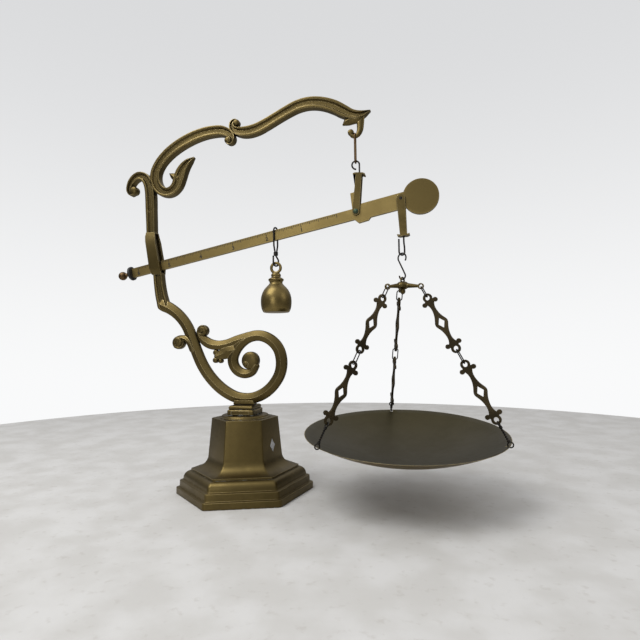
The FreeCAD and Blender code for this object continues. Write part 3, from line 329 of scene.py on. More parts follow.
LOWER_COLUMN = [(-110.2, 249.6, 11.6), (-109.2, 240.0, 11.8), (-107.0, 226.0, 12.6), (-103.6, 212.6, 13.8)]
WEB = [(-13.0, 158.0, 13.0), (-20.0, 156.4, 16.0), (-27.0, 153.4, 13.0), (-33.6, 151.0, 8.0)]
# Balls and volute eyes, as (x, z, radius, depth) in millimetres.
BUD_KNOBS = [
    (-35.4, 155.2, 3.3, 3.9), (-35.8, 146.4, 3.3, 3.9), (-29.4, 150.6, 4.2, 3.9), (-29.4, 145.4, 2.6, 3.9),
]
LOOP_EYE = [(7.3, 145.6, 10.2, 5.6), (3.2, 142.0, 3.6, 6.6)]
ARM_BALLS = [
    (-144.2, 355.4, 5.2, 5.4), (-19.0, 404.8, 4.2, 4.8), (-8.4, 424.4, 3.9, 4.8), (127.4, 397.0, 3.4, 2.8),
]

COLUMN = [(-119.8, 301.4, 11.4), (-120.2, 315.0, 11.6), (-120.8, 330.0, 12.0), (-121.2, 346.0, 12.4)]
LEFT_VOLUTE = [
    (-120.8, 332.0, 12.0), (-121.2, 344.0, 12.3), (-122.0, 354.0, 12.2), (-124.4, 363.6, 12.0),
    (-129.6, 370.6, 11.0), (-137.0, 373.2, 10.0), (-144.6, 369.6, 9.0), (-149.4, 362.2, 7.6),
    (-150.4, 355.0, 5.6), (-147.8, 351.4, 4.6), (-144.6, 352.2, 3.6),
]
BIG_ARC = [
    (-20.4, 404.0, 3.0), (-18.6, 401.4, 3.6), (-14.6, 401.8, 4.8), (-13.2, 406.2, 6.6),
    (-16.6, 411.4, 9.4), (-25.0, 416.2, 11.6), (-38.7, 417.6, 12.6), (-55.0, 415.8, 13.0),
    (-71.5, 410.9, 13.2), (-86.4, 404.0, 13.2), (-99.6, 395.0, 12.8), (-109.0, 385.0, 12.6),
    (-114.0, 374.6, 12.8), (-114.5, 366.0, 12.9), (-111.8, 358.2, 12.6), (-106.0, 351.8, 11.8),
    (-98.6, 349.2, 11.4), (-91.0, 351.2, 12.0), (-85.4, 357.0, 13.0), (-82.4, 364.8, 14.2),
    (-79.2, 373.0, 13.4), (-73.0, 381.6, 9.0), (-63.4, 389.0, 1.2),
]
GOOSENECK = [
    (-7.6, 424.8, 2.8), (-9.2, 427.4, 3.4), (-12.7, 426.0, 4.6), (-13.9, 420.6, 6.4),
    (-10.0, 415.4, 8.6), (-3.0, 412.8, 11.0), (6.5, 412.1, 12.6), (17.0, 413.8, 12.8),
    (29.4, 418.6, 12.3), (42.0, 424.4, 12.0), (54.4, 430.0, 12.3), (66.6, 434.5, 12.8),
    (78.0, 436.17, 13.1), (89.6, 435.2, 13.4), (100.2, 432.2, 13.8), (110.4, 427.5, 14.2),
    (120.0, 421.4, 13.6), (129.6, 416.6, 10.6), (139.0, 415.4, 7.6), (149.4, 418.8, 1.2),
]
LIP = [(136.0, 411.6, 9.0), (129.0, 411.6, 10.6), (123.6, 409.6, 8.4), (118.9, 406.8, 1.6)]
ARM_HOOK = [
    (138.2, 414.0, 9.4), (138.2, 405.0, 8.0), (137.4, 398.0, 6.8), (135.2, 393.8, 5.6),
    (132.0, 392.2, 4.8), (128.8, 393.2, 4.4), (127.0, 396.2, 4.0),
]
BARB = [(-86.0, 366.0, 9.0), (-90.4, 368.6, 8.0), (-96.2, 372.6, 0.8)]


# ---------------------------------------------------------------- shader maths


class Value:
    """A socket that can be added, multiplied and so on: each operator adds a Math node."""

    def __init__(self, paint, socket):
        self.paint = paint
        self.socket = socket

    def maths(self, operation, *values):
        return self.paint.node("ShaderNodeMath", {"operation": operation}, *values)

    def __add__(self, other):
        return self.maths("ADD", self, other)

    def __radd__(self, other):
        return self.maths("ADD", other, self)

    def __sub__(self, other):
        return self.maths("SUBTRACT", self, other)

    def __rsub__(self, other):
        return self.maths("SUBTRACT", other, self)

    def __mul__(self, other):
        return self.maths("MULTIPLY", self, other)

    def __rmul__(self, other):
        return self.maths("MULTIPLY", other, self)

    def between(self, low, high):
        """0 below low, 1 above high and a smooth rise between them."""
        settings = {"interpolation_type": "SMOOTHSTEP"}
        limits = {"From Min": low, "From Max": high}
        return self.paint.node("ShaderNodeMapRange", settings, Value=self, **limits)


class Paint:
    """The node tree of a material or world, and the one way to add a node to it."""

    def __init__(self, owner):
        owner.use_nodes = True
        self.owner = owner
        self.tree = owner.node_tree
        self.shader = self.tree.nodes.get("Principled BSDF")

    def node(self, kind, settings, *ordered, out=0, **named):
        """Adds a node: its settings are set first, then its sockets by order or by name."""
        made = self.tree.nodes.new(kind)
        for key, setting in settings.items():
            setattr(made, key, setting)
        for key, given in list(enumerate(ordered)) + list(named.items()):
            self.feed(made.inputs[key], given)
        return Value(self, made.outputs[out])

    def feed(self, socket, given):
        """Links a value to a socket, or sets the socket to a number or colour."""
        if isinstance(given, Value):
            self.tree.links.new(given.socket, socket)
        elif socket.type == "RGBA" and len(given) == 3:
            socket.default_value = (*given, 1)
        else:
            socket.default_value = given

    def set(self, **given):
        """Feeds the main shader's sockets, whose names are written with underscores for spaces."""
        for key, value in given.items():
            self.feed(self.shader.inputs[key.replace("_", " ")], value)

    def place(self):
        """The point's object coordinates, which are those of the row frame at rest."""
        return self.node("ShaderNodeTexCoord", {}, out="Object")

    def noise(self, scale, detail=3):
        """Fractal noise between 0 and 1 in object coordinates."""
        return self.node("ShaderNodeTexNoise", {}, Vector=self.place(), Scale=scale, Detail=detail)

    def bump(self, strength, distance, height):
        """Feeds the shader's normal with a height in metres."""
        self.set(Normal=self.node("ShaderNodeBump", {}, Strength=strength, Distance=distance, Height=height))

    def mix(self, share, one, other):
        """A colour that goes from one to the other as the share goes from 0 to 1."""
        made = self.node("ShaderNodeMix", {"data_type": "RGBA"}, out=2)
        node = made.socket.node
        self.feed(node.inputs[0], share)
        self.feed(node.inputs[6], one)
        self.feed(node.inputs[7], other)
        return made


def aged_brass(
    name, clean, tarnish, bright, rough, grain, pits, clouding=0.4, wear=0.8, dust=0.0, below=None, spot=None
):
    """Old brass: faint clouds of tarnish, painted shade with some dirt in creases and hollows, rubbed bright
    edges and a fine cast or brushed grain.

    The painted shade, with some dirt, in creases and hollows comes from how enclosed a point is, and the wear
    from how far a rounded normal leans from the true one. Dust fills the creases, below is a lighter colour
    painted on faces that look down, and spot is the middle of a dark patch.
    """
    paint = Paint(bpy.data.materials.new(name))
    clouds = paint.noise(24, 3)
    patches = paint.noise(170, 5)
    speckle = paint.noise(grain, 3)
    tarnished = (clouds * 0.75 + patches * 0.25).between(0.38, 0.62)
    wide = paint.node("ShaderNodeAmbientOcclusion", {"samples": 12}, Distance=0.011, out="AO")
    tight = paint.node("ShaderNodeAmbientOcclusion", {"samples": 12}, Distance=0.0028, out="AO")
    crease = 1 - tight.between(0.35, 0.85)
    hollow = 1 - wide.between(0.2, 0.85)
    rounded = paint.node("ShaderNodeBevel", {"samples": 4}, Radius=0.0008)
    true = paint.node("ShaderNodeNewGeometry", {}, out="Normal")
    lean = paint.node("ShaderNodeVectorMath", {"operation": "DOT_PRODUCT"}, rounded, true, out="Value")
    edge = (1 - lean).between(0.004, 0.09) * patches.between(0.25, 0.5)
    colour = paint.mix(tarnished * clouding, clean, tarnish)
    colour = paint.mix(speckle.between(0.58, 0.76) * 0.3, colour, tarnish)
    # Painted light: faces that look down are given a lighter colour.
    if below:
        upward = paint.node("ShaderNodeSeparateXYZ", {}, true, out="Z")
        colour = paint.mix(1 - upward.between(-0.35, 0.1), colour, below)
    if spot:
        away = paint.node("ShaderNodeVectorMath", {"operation": "DISTANCE"}, paint.place(), spot, out="Value")
        colour = paint.mix((1 - away.between(0.016, 0.026)) * 0.85, colour, tarnish)
    colour = paint.mix(edge * wear, colour, bright)
    # Painted shade with some dirt: creases and hollows are darkened towards a near-black tarnish, and their
    # metal is dulled.
    shade_and_grime = crease * 0.7 + hollow * 0.35
    colour = paint.mix(shade_and_grime.between(0.02, 0.9) * 0.9, colour, tuple(c * 0.16 for c in tarnish))
    metal = 1 - shade_and_grime.between(0.2, 1) * 0.5
    if dust:
        powder = crease.between(0.3, 0.8) * paint.noise(300, 4).between(0.5, 0.62) * dust
        colour = paint.mix(powder, colour, (0.3, 0.32, 0.31))
        metal = metal * (1 - powder)
    paint.set(
        Base_Color=colour,
        Metallic=metal,
        Roughness=rough + paint.noise(110, 4) * 0.1 + tarnished * 0.05 + shade_and_grime * 0.15 - edge * 0.06,
    )
    paint.bump(pits, 0.00025, speckle * 0.5 + paint.noise(grain * 0.3, 4) * 0.9)
    return paint.owner


def black_iron(name):
    """Blackened iron wire with a trace of brown rust and a dull metallic sheen."""
    paint = Paint(bpy.data.materials.new(name))
    rust = paint.noise(420, 5).between(0.5, 0.72)
    colour = paint.mix(rust * 0.6, (0.018, 0.017, 0.015), (0.07, 0.04, 0.022))
    paint.set(Base_Color=colour, Metallic=0.75, Roughness=0.42 + rust * 0.3)
    paint.bump(0.3, 0.0002, paint.noise(1500, 3))
    return paint.owner


def plain_finish(name, colour, rough, metal, grain):
    """A quiet finish for rubber, hidden steel, filled marks and the patch of painted highlight, broken up by a
    fine grain.
    """
    paint = Paint(bpy.data.materials.new(name))
    fine = paint.noise(grain, 4)
    tone = paint.mix(fine.between(0.35, 0.7), colour, tuple(c * 0.6 for c in colour))
    paint.set(Base_Color=tone, Metallic=metal, Roughness=rough + fine * 0.15)
    paint.bump(0.2, 0.0002, fine)
    return paint.owner


def disc_middle():
    """The middle of the disc at the beam's load end, which is the beam's highest and furthest part."""
    radius = 0.0185
    low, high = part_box("beam_bar")
    return (high.x - radius, (low.y + high.y) / 2, high.z - radius)


MATERIALS = {}


def finish(name):
    """Makes each finish once, when it is first asked for."""
    if name not in MATERIALS:
        kind, settings = finishes(bpy.context.scene.steelyard_look)[name]
        MATERIALS[name] = kind(name, **settings)
    return MATERIALS[name]


def finishes(look):
    """Each finish's maker and its settings, with the colours that the sidebar sets."""
    clean, dark, bright = tuple(look.brass), tuple(look.tarnish), tuple(look.rubbed)
    lighter = tuple(c * 2.3 for c in clean)
    warm = tuple(c * 1.9 for c in clean)
    old = {"tarnish": dark, "bright": bright}
    dull = {"tarnish": dark, "bright": clean}
    base = dict(old, clean=clean, rough=0.33, grain=520, pits=0.3, clouding=0.35, wear=0.6, dust=0.8)
    scroll = dict(old, clean=clean, rough=0.33, grain=900, pits=0.16, clouding=0.3)
    beam = dict(clean=lighter, tarnish=clean, bright=bright, rough=0.34, grain=1500, pits=0.12)
    beam.update(clouding=0.3, wear=0.6, spot=disc_middle())
    pan = dict(clean=(0.06, 0.05, 0.024), tarnish=(0.044, 0.037, 0.018), bright=bright, rough=0.36, grain=1100)
    # The pan's lighter underside colour is painted light.
    pan.update(pits=0.1, clouding=0.3, wear=1.0, below=(0.2, 0.145, 0.06))
    link = dict(clean=(0.085, 0.064, 0.034), tarnish=(0.03, 0.024, 0.014), bright=clean, rough=0.38, grain=900)
    link.update(pits=0.3, clouding=0.8, wear=0.5)
    return {
        "base_brass": (aged_brass, base),
        "scroll_brass": (aged_brass, scroll),
        "beam_brass": (aged_brass, beam),
        "poise_brass": (aged_brass, dict(old, clean=warm, rough=0.27, grain=900, pits=0.15)),
        "pan_brass": (aged_brass, pan),
        "shackle_brass": (aged_brass, dict(old, clean=clean, rough=0.34, grain=1200, pits=0.15, clouding=0.6)),
        "green_brass": (aged_brass, dict(dull, clean=(0.05, 0.085, 0.06), rough=0.45, grain=1500, pits=0.3)),
        "ball_brass": (aged_brass, dict(dull, clean=(0.15, 0.09, 0.045), rough=0.28, grain=900, pits=0.15)),
        "link_brass": (aged_brass, link),
        "dark_wire": (black_iron, {}),
        "steel_fixing": (plain_finish, dict(colour=(0.3, 0.29, 0.27), rough=0.4, metal=1.0, grain=900)),
        "black_washer": (plain_finish, dict(colour=(0.012, 0.012, 0.012), rough=0.5, metal=0.0, grain=1600)),
        "filled_mark": (plain_finish, dict(colour=(0.02, 0.015, 0.008), rough=0.6, metal=0.0, grain=1200)),
        # Painted highlight: the pale four-pointed glint on the pedestal.
        "pale_patch": (plain_finish, dict(colour=(0.5, 0.5, 0.5), rough=0.5, metal=0.0, grain=700)),
    }


# ---------------------------------------------------------------- pieces


def dressed(node, slot, ease=None, look=None):
    """A CAD part's own shape with its triangles merged, smooth shading and, if asked, eased edges.

    Its finish is its slot's own, or the one that look names.
    """
    source = frame["nodes"][node]
    mesh = source.data.copy()
    mesh.name = node + "_finish"
    work = bmesh.new()
    work.from_mesh(mesh)
    bmesh.ops.remove_doubles(work, verts=work.verts, dist=2e-6)
    if ease:
        bmesh.ops.dissolve_limit(work, angle_limit=math.radians(1.5), verts=work.verts, edges=work.edges)
    work.to_mesh(mesh)
    work.free()
    mesh.shade_smooth()
    mesh.set_sharp_from_angle(angle=CORNER)
    piece = placed(mesh, node + "_finish", finish(look or slot), source["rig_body"], [node])
    if ease:
        bevel = piece.modifiers.new("eased edges", "BEVEL")
        bevel.width = ease
        bevel.segments = 2
        bevel.limit_method = "ANGLE"
        bevel.angle_limit = CORNER
        bevel.harden_normals = True


def quarter(radius_from, radius_to, low, high, bulge, steps=9):
    """A moulding of a quarter turn between two radii: bulging out, or hollow."""
    t = np.linspace(0, np.pi / 2, steps)
    if bulge:
        r = radius_to + (radius_from - radius_to) * np.cos(t)
        return np.column_stack([r, low + (high - low) * np.sin(t)])
    r = radius_to + (radius_from - radius_to) * (1 - np.sin(t))
    return np.column_stack([r, low + (high - low) * (1 - np.cos(t))])


def make_pedestal():
    """A hexagonal wall: its profile runs from the top's middle, down the mouldings and up the hollow inside."""
    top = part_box("pedestal")[1].z / MM
    height = top - 3.0
    step, plinth = (69.2, 16.4), 77.0
    steps = [(plinth, 0.0), (plinth, 7.0), (73.4, 7.6), (73.0, 14.7), (69.4, 15.4), step]
    ceiling = 75.0
    inside = [(72.2, 0.0), (71.4, 8.0), (56.0, 17.7), (38.9, 33.0), (35.9, NECK_HEIGHT), (31.8, ceiling)]
    profile = np.vstack(
        [
            softened([(5.0, height), (TOP_RADIUS, height), (NECK_RADIUS, NECK_HEIGHT)], 0.5)[:-1],
            quarter(SKIRT_RADIUS, NECK_RADIUS, SKIRT_HEIGHT, NECK_HEIGHT, bulge=False)[::-1],
            softened([(SKIRT_RADIUS, 26.6), (SKIRT_RADIUS, 24.9)], 0.2),
            quarter(step[0], SKIRT_RADIUS, step[1], 24.7, bulge=True)[::-1],
            softened(steps[::-1], 0.55)[1:],
            softened(inside, 3.0),
            [(4.0, ceiling)],
        ]
    )
    shell = Shell().add(prismatic(profile * MM, 6, HEXAGON_TURN))
    seat = [(1.0, height - 1), (28.6, height - 1), (28.6, height + 0.9), (26.6, height + 1.4)]
    seat += [(25.8, top), (1.0, top)]
    shell.add(turned(softened(seat, 0.5) * MM, 96))
    shell.piece("pedestal_casting", finish("base_brass"), "stand", "base_brass", ["pedestal"])
    add_pale_patch(height)


def add_pale_patch(top):
    """A thin four-pointed patch of painted highlight on a face of the pedestal: cosine and sine, each raised to
    a power, bend its sides inwards.
    """
    middle, shift, half_width, half_height, waist = 52.5, 0.5, 5.2, 7.2, 2.2
    facing = math.radians(HEXAGON_TURN - 30)
    out = np.array([math.cos(facing), math.sin(facing), 0])
    sideways = np.array([-out[1], out[0], 0])
    flat_share = math.cos(math.pi / 6)
    lean = (TOP_RADIUS - NECK_RADIUS) / (top - NECK_HEIGHT) * flat_share
    apothem = NECK_RADIUS * flat_share + (middle - NECK_HEIGHT) * lean
    rise = unit(np.array([out[0] * lean, out[1] * lean, 1.0]))
    normal = unit(np.cross(sideways, rise))
    angle = np.linspace(0, 2 * np.pi, 64, endpoint=False)
    across = np.sign(np.cos(angle)) * half_width * np.abs(np.cos(angle)) ** waist
    upward = np.sign(np.sin(angle)) * half_height * np.abs(np.sin(angle)) ** waist
    centre = out * apothem + np.array([0, 0, middle]) + sideways * shift
    flat = centre + across[:, None] * sideways + upward[:, None] * rise
    # Painted highlight: a pale glint laid just proud of the pedestal's face.
    shell = Shell().add(np.stack([flat - normal * 0.3, flat + normal * 0.12]) * MM)
    shell.piece("pedestal_pale_patch", finish("pale_patch"), "stand", "base_brass")


def make_foot_block():
    """Two square steps, each a wall of four sides, with a frame of thin bars on the lower one's faces."""
    low, high = (corner.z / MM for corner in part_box("foot_block"))
    lower = [(2, low), (15.2, low), (15.4, low + 1.2), (15.4, low + 5.4), (14.4, low + 6.4), (2, low + 6.4)]
    upper = [(2, low + 6), (13.4, low + 6), (14.2, low + 7.2), (14.2, high - 1.4), (12.8, high), (2, high)]
    shell = Shell()
    for profile, ease in ((lower, 0.5), (upper, 0.6)):
        shell.add(prismatic(softened(profile, ease) * [SQUARE_CORNER, 1] * MM, 4, 45, 0.05))
    face, middle, bar = 15.5, low + 3.3, 0.42
    half_width, half_height, half_upright = 10.5, 1.9, 2.1
    for turn in (0, 90, 180, 270):
        spin = np.array(Matrix.Rotation(math.radians(turn), 3, "Z"))
        for side in (1, -1):
            rail = prismatic(np.array([(bar, -half_width), (bar, half_width)]) * MM, 4, 45)[..., [2, 0, 1]]
            shell.add((rail + np.array([0, -face, middle + side * half_height]) * MM) @ spin.T)
        for side in (-1, 1):
            stile = prismatic(np.array([(bar, -half_upright), (bar, half_upright)]) * MM, 4, 45)
            shell.add((stile + np.array([side * half_width, -face, middle]) * MM) @ spin.T)
    shell.piece("foot_block_casting", finish("base_brass"), "stand", "base_brass", ["foot_block"])


def make_lower_scroll():
    """Ridged members follow the scroll's centre lines, with volute eyes at their ends and a pad at the foot."""
    shell = Shell()
    for stations in (LOOP, BRANCH, LEFT_CURL, WEB):
        shell.add(member(stations, roof, 5.0))
    shell.add(member(LOWER_COLUMN, fluted, 4.7, start="butt"))
    for place in LOOP_EYE:
        shell.add(boss(*place))
    shell.add(boss(-52.1, 180.8, 6.8, 5.4, groove=1.4, hand=1, start=0.3))
    shell.add(boss(-83.0, 167.4, 7.7, 5.4, groove=1.4, hand=-1, start=0.55))
    for place in BUD_KNOBS:
        shell.add(boss(*place))
    gap, height, flatness = 0.02, 5, 0.42
    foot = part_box("foot_block")[1].z / MM + gap
    pad = [(1, foot), (11.6, foot), (12.4, foot + 1.6), (11.4, foot + height), (1, foot + height)]
    block = prismatic(softened(pad, 0.5) * [SQUARE_CORNER, 1] * MM, 4, 45, 0.05)
    shell.add(block * [1, flatness, 1])
    shell.piece("lower_scroll_casting", finish("scroll_brass"), "stand", "scroll_brass", ["lower_scroll"])


def make_arm():
    """Fluted members follow the arm's centre lines, with balls at their ends and a round hook under the tip."""
    shell = Shell()
    shell.add(member(COLUMN, fluted, 4.7, start="butt", end="butt"))
    for stations in (LEFT_VOLUTE, BIG_ARC, GOOSENECK):
        shell.add(member(stations, fluted, 4.8))
    shell.add(member(LIP, roof, 4.0))
    shell.add(member(BARB, roof, 4.2))
    shell.add(member(ARM_HOOK, oval, 2.3))
    for place in ARM_BALLS:
        shell.add(boss(*place))
    shell.piece("gooseneck_arm_casting", finish("scroll_brass"), "stand", "scroll_brass", ["gooseneck_arm"])


def make_stand_fittings():
    """The guard and the hidden fixings keep their own shapes."""
    dressed("beam_guard", "scroll_brass", 0.0006)
    for node in ("stand_bolt", "stand_washer", "lower_guard_stud", "upper_guard_stud"):
        dressed(node, "steel_fixing")


def beam_line():
    """The fulcrum, the direction along the beam and the direction across it, in the XZ plane at rest."""
    fulcrum = np.array(joints["beam_tilt"]["pos_m"])
    along = unit(np.array(joints["poise_slide"]["axis"], float))
    across = np.array([-along[2], 0, along[0]])
    return fulcrum, along, across


def make_scale_marks():
    """Fine marks along the front face's upper edge, longer at each fifth and at each figure below it."""
    fulcrum, along, across = beam_line()
    step = bpy.context.scene.steelyard_look.mark_step
    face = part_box("beam_bar")[0].y
    index = np.arange(MARKS)
    spot = FIRST_MARK - index * step
    length = np.where(index % MARKS_PER_FIGURE == 0, 4.6, np.where(index % 5 == 0, 3.4, 2.3)) * MM
    top, half, proud, sunk = 3.7 * MM, 0.32 * MM, 0.1 * MM, 0.2 * MM
    corners = []
    for side, end in ((-1, 0), (1, 0), (1, 1), (-1, 1)):
        corners.append(np.stack([spot + side * half, top - end * length], axis=-1))
    flat = np.stack(corners, axis=1)
    base = fulcrum + flat[..., :1] * along + flat[..., 1:] * across
    shell = Shell()
    for mark in base:
        front = mark + np.array([0, face - fulcrum[1] - proud, 0])
        back = mark + np.array([0, face - fulcrum[1] + sunk, 0])
        shell.add(np.stack([front, back]))
    shell.piece("beam_scale_marks", finish("filled_mark"), "beam", "beam_brass")
    add_numerals(fulcrum, along, across, face, step)


def add_numerals(fulcrum, along, across, face, step):
    """Numbers from 1 to 6 as thin raised figures, made from the built-in font and gathered into one mesh."""
    baseline, gap = -5.8 * MM, 0.02 * MM
    points, faces, count = [], [], 0
    for number in range(1, MARKS // MARKS_PER_FIGURE + 1):
        text = bpy.data.curves.new("figure", "FONT")
        text.body = str(number)
        text.size = 6.2 * MM
        text.offset = 0.16 * MM
        text.extrude = 0.1 * MM
        text.align_x = "CENTER"
        holder = bpy.data.objects.new("figure", text)
        mesh = bpy.data.meshes.new_from_object(holder)
        own = np.zeros(len(mesh.vertices) * 3)
        mesh.vertices.foreach_get("co", own)
        own = own.reshape(-1, 3)
        place = FIRST_MARK - number * MARKS_PER_FIGURE * step
        world = fulcrum + (own[:, :1] + place) * along + (own[:, 1:2] + baseline) * across
        world[:, 1] = face - own[:, 2] - gap
        points.append(world)
        faces += [[count + v for v in polygon.vertices] for polygon in mesh.polygons]
        count += len(own)
        bpy.data.objects.remove(holder)
        bpy.data.meshes.remove(mesh)
        bpy.data.curves.remove(text)
    mesh = bpy.data.meshes.new("beam_numerals")
    mesh.from_pydata(np.vstack(points).tolist(), [], faces)
    placed(mesh, "beam_numerals", finish("filled_mark"), "beam")


def make_beam():
    """The beam and the parts fixed to it keep their own shapes."""
    dressed("beam_bar", "beam_brass", 0.00035)
    dressed("balance_tongue", "beam_brass", 0.0003)
    dressed("fulcrum_pin", "beam_brass", look="green_brass")
    dressed("load_pin", "beam_brass", look="dark_wire")
    dressed("stop_washer", "black_washer")
    dressed("tip_ball", "beam_brass", look="ball_brass")


def make_poise():
    """The bell is a spline through its radii turned about the upright line, with a torus for the eye."""
    dressed("poise_hook", "dark_wire")
    low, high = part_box("poise_weight")
    x = (low.x + high.x) / 2
    lower_half = [(14.9, 0.9), (16.1, 3.2), (17.0, 7.0), (17.35, 11.2), (17.3, 14.6), (16.8, 18.2)]
    upper_half = [(15.6, 22.0), (13.5, 26.0), (10.8, 29.2), (8.3, 31.8), (7.2, 33.8), (7.7, 35.2)]
    sides = flowing(lower_half + upper_half, 48)
    foot = softened([(1.0, 0.0), (13.6, 0.0), (14.5, 0.3), (14.9, 0.9)], 0.5)
    collar = [(7.6, 35.0), (8.7, 36.4), (8.7, 38.0), (6.2, 39.4)]
    neck = [(5.0, 40.4), (5.7, 41.8), (5.3, 43.6), (3.6, 45.4), (0.6, 46.2)]
    profile = np.vstack([foot[:-1], sides, softened(collar + neck, 0.7)[1:]]) * MM
    shell = Shell().add(turned(profile, 96) + np.array([x, 0, low.z]))
    eye, bar = 5.5 * MM, 1.6 * MM
    shell.add(ring_of(eye, bar, (x, 0, high.z - eye - bar), (0, 1, 0)), ring=True)
    shell.piece("poise_bell", finish("poise_brass"), "poise", "poise_brass", ["poise_weight"])


def make_hanging_parts():
    """The shackles, their hooks and the link keep their own shapes."""
    for node in ("fulcrum_shackle", "load_shackle"):
        dressed(node, "beam_brass", 0.0003, look="shackle_brass")
    dressed("hook_link", "link_brass", look="ball_brass")
    for node in ("fulcrum_hook", "load_hook", "s_hook"):
        dressed(node, "dark_wire")


def strand(start, end, phase, twist, bar, pitch):
    """A wire wound round a straight line: its centre is a helix, its section a circle square to the line."""
    run = end - start
    length = np.linalg.norm(run)
    along = run / length
    side = unit(np.cross(along, ODD_WAY))
    other = np.cross(along, side)
    t = np.linspace(0, 1, max(6, int(length / pitch * 12)))[:, None, None]
    turn = 2 * np.pi * t * length / pitch + phase
    around = np.linspace(0, 2 * np.pi, 10, endpoint=False)[None, :, None]
    centre = start + run * t + twist * (np.cos(turn) * side + np.sin(turn) * other)
    return centre + bar * (np.cos(around) * side + np.sin(around) * other)


def twisted_wire(chain):
    """The last wire of a chain: an eye at each end, two strands twisted together and a short binding."""
    joint = joints[f"link_twist_{chain}_lower"]
    along = unit(np.array(joint["axis"], float))
    along = along * -np.sign(along[2])
    low, high = (np.array(corner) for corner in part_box(f"pan_wire_{chain}"))
    centre = (low + high) / 2
    anchor = np.array(joint["pos_m"])
    centre = anchor + along * np.dot(centre - anchor, along)
    sideways = unit(np.cross([0, 0, 1.0], along))
    eye, bar, twist, pitch = 2.6 * MM, 0.65 * MM, 0.6 * MM, 4.4 * MM
    knot_radius, knot_bar, knot_step = 1.15 * MM, 0.45 * MM, 0.9 * MM
    reach = (high[2] - low[2]) / 2 / abs(along[2]) - eye * 1.46
    upper, lower = centre - along * reach, centre + along * reach
    shell = Shell()
    shell.add(ring_of(eye, bar, upper, np.cross(along, sideways), 40, 12), ring=True)
    shell.add(ring_of(eye, bar, lower, sideways, 40, 12), ring=True)
    first, last = upper + along * eye * 0.9, lower - along * eye * 0.9
    if np.dot(last - first, along) > 2 * MM:
        for phase in (0, np.pi):
            shell.add(strand(first, last, phase, twist, bar, pitch))
        for place in (0.06, 0.94):
            knot = first + (last - first) * place
            for step in (-knot_step, 0, knot_step):
                shell.add(ring_of(knot_radius, knot_bar, knot + along * step, along, 24, 10), ring=True)
    shell.piece(f"pan_wire_{chain}_twist", finish("dark_wire"), "hanger", "dark_wire", [f"pan_wire_{chain}"])


def make_chains():
    """The spider, the links and the plain wires keep their own shapes, and the last wires are twisted."""
    for chain in CHAINS:
        for half in ("upper", "lower"):
            dressed(f"chain_link_{chain}_{half}", "link_brass", 0.0005)
        for part in ("spider_wire", "chain_wire"):
            dressed(f"{part}_{chain}", "dark_wire")
        twisted_wire(chain)
    dressed("pan_spider", "poise_brass", 0.0003, look="shackle_brass")


def make_pan():
    """The pan keeps its own shape, with a rubbed rim and painted light that makes its underside lighter and
    warmer.
    """
    dressed("pan", "pan_brass", 0.0004)


# ---------------------------------------------------------------- stage


def soft_surround():
    """A pale backdrop that darkens upwards. All that it lights sees a dimmer room with a bright ceiling."""
    paint = Paint(bpy.data.worlds.new("soft_surround"))
    way = paint.node("ShaderNodeTexCoord", {}, out="Generated")
    split = paint.node("ShaderNodeSeparateXYZ", {}, way, out="Z")
    wall = paint.mix(split.between(-0.1, 0.62), (0.95, 0.955, 0.96), (0.7, 0.705, 0.715))
    room = paint.mix(split.between(0.1, 0.9), (0.2, 0.2, 0.2), (0.9, 0.9, 0.92))
    seen = paint.node("ShaderNodeLightPath", {}, out="Is Camera Ray")
    paint.feed(paint.tree.nodes["Background"].inputs["Color"], paint.mix(seen, room, wall))
    return paint.owner


def make_stage():
    """A pale round table top, a soft pale surround, three softboxes and the camera."""
    scene = bpy.context.scene
    scene.view_settings.view_transform = "Standard"
    middle, radius, corners = 0.06, 0.86, 160
    angle = np.linspace(0, 2 * np.pi, corners, endpoint=False)
    rim = np.stack([middle + radius * np.cos(angle), radius * np.sin(angle), np.zeros(corners)], axis=-1)
    mesh = bpy.data.meshes.new("table_top")
    mesh.from_pydata(rim.tolist(), [], [list(range(corners))])
    floor = bpy.data.objects.new("table_top", mesh)
    scene.collection.objects.link(floor)
    paint = Paint(bpy.data.materials.new("pale_table"))
    cloud = paint.noise(22, 9).between(0.36, 0.66)
    mark = paint.noise(120, 8).between(0.57, 0.72)
    tone = paint.mix(cloud, (0.52, 0.51, 0.485), (0.58, 0.573, 0.555))
    tone = paint.mix(mark * 0.25, tone, (0.34, 0.31, 0.27))
    paint.set(Base_Color=tone, Roughness=0.6 + cloud * 0.12)
    paint.bump(0.15, 0.0006, paint.noise(240, 5))
    mesh.materials.append(paint.owner)

    scene.world = soft_surround()
    aim = Vector((middle, 0, 0.2))
    for name, place, width, power in (
        ("overhead_softbox", (-0.42, -0.5, 1.15), 0.8, 9.5),
        ("side_softbox", (1.2, -0.2, 0.7), 0.6, 1.6),
        ("low_softbox", (-0.1, -1.3, 0.35), 0.5, 2.2),
    ):
        lamp = bpy.data.lights.new(name, "AREA")
        lamp.energy = power
        lamp.size = width
        holder = bpy.data.objects.new(name, lamp)
        holder.location = place
        holder.rotation_euler = (aim - holder.location).to_track_quat("-Z", "Y").to_euler()
        scene.collection.objects.link(holder)

    lens = bpy.data.cameras.new("camera")
    lens.lens = 27.5
    lens.sensor_width = 36
    lens.clip_start = 0.01
    camera = bpy.data.objects.new("camera", lens)
    yaw, pitch, roll = (math.radians(turn) for turn in (13.746, 3.084, -0.806))
    level = Matrix.Rotation(yaw, 4, "Z") @ Matrix.Rotation(math.pi / 2 + pitch, 4, "X")
    place = Matrix.Translation((0.2174, -0.5244, 0.1607))
    camera.matrix_world = place @ level @ Matrix.Rotation(roll, 4, "Z")
    scene.collection.objects.link(camera)
    scene.camera = camera


# ---------------------------------------------------------------- the add-on's interface


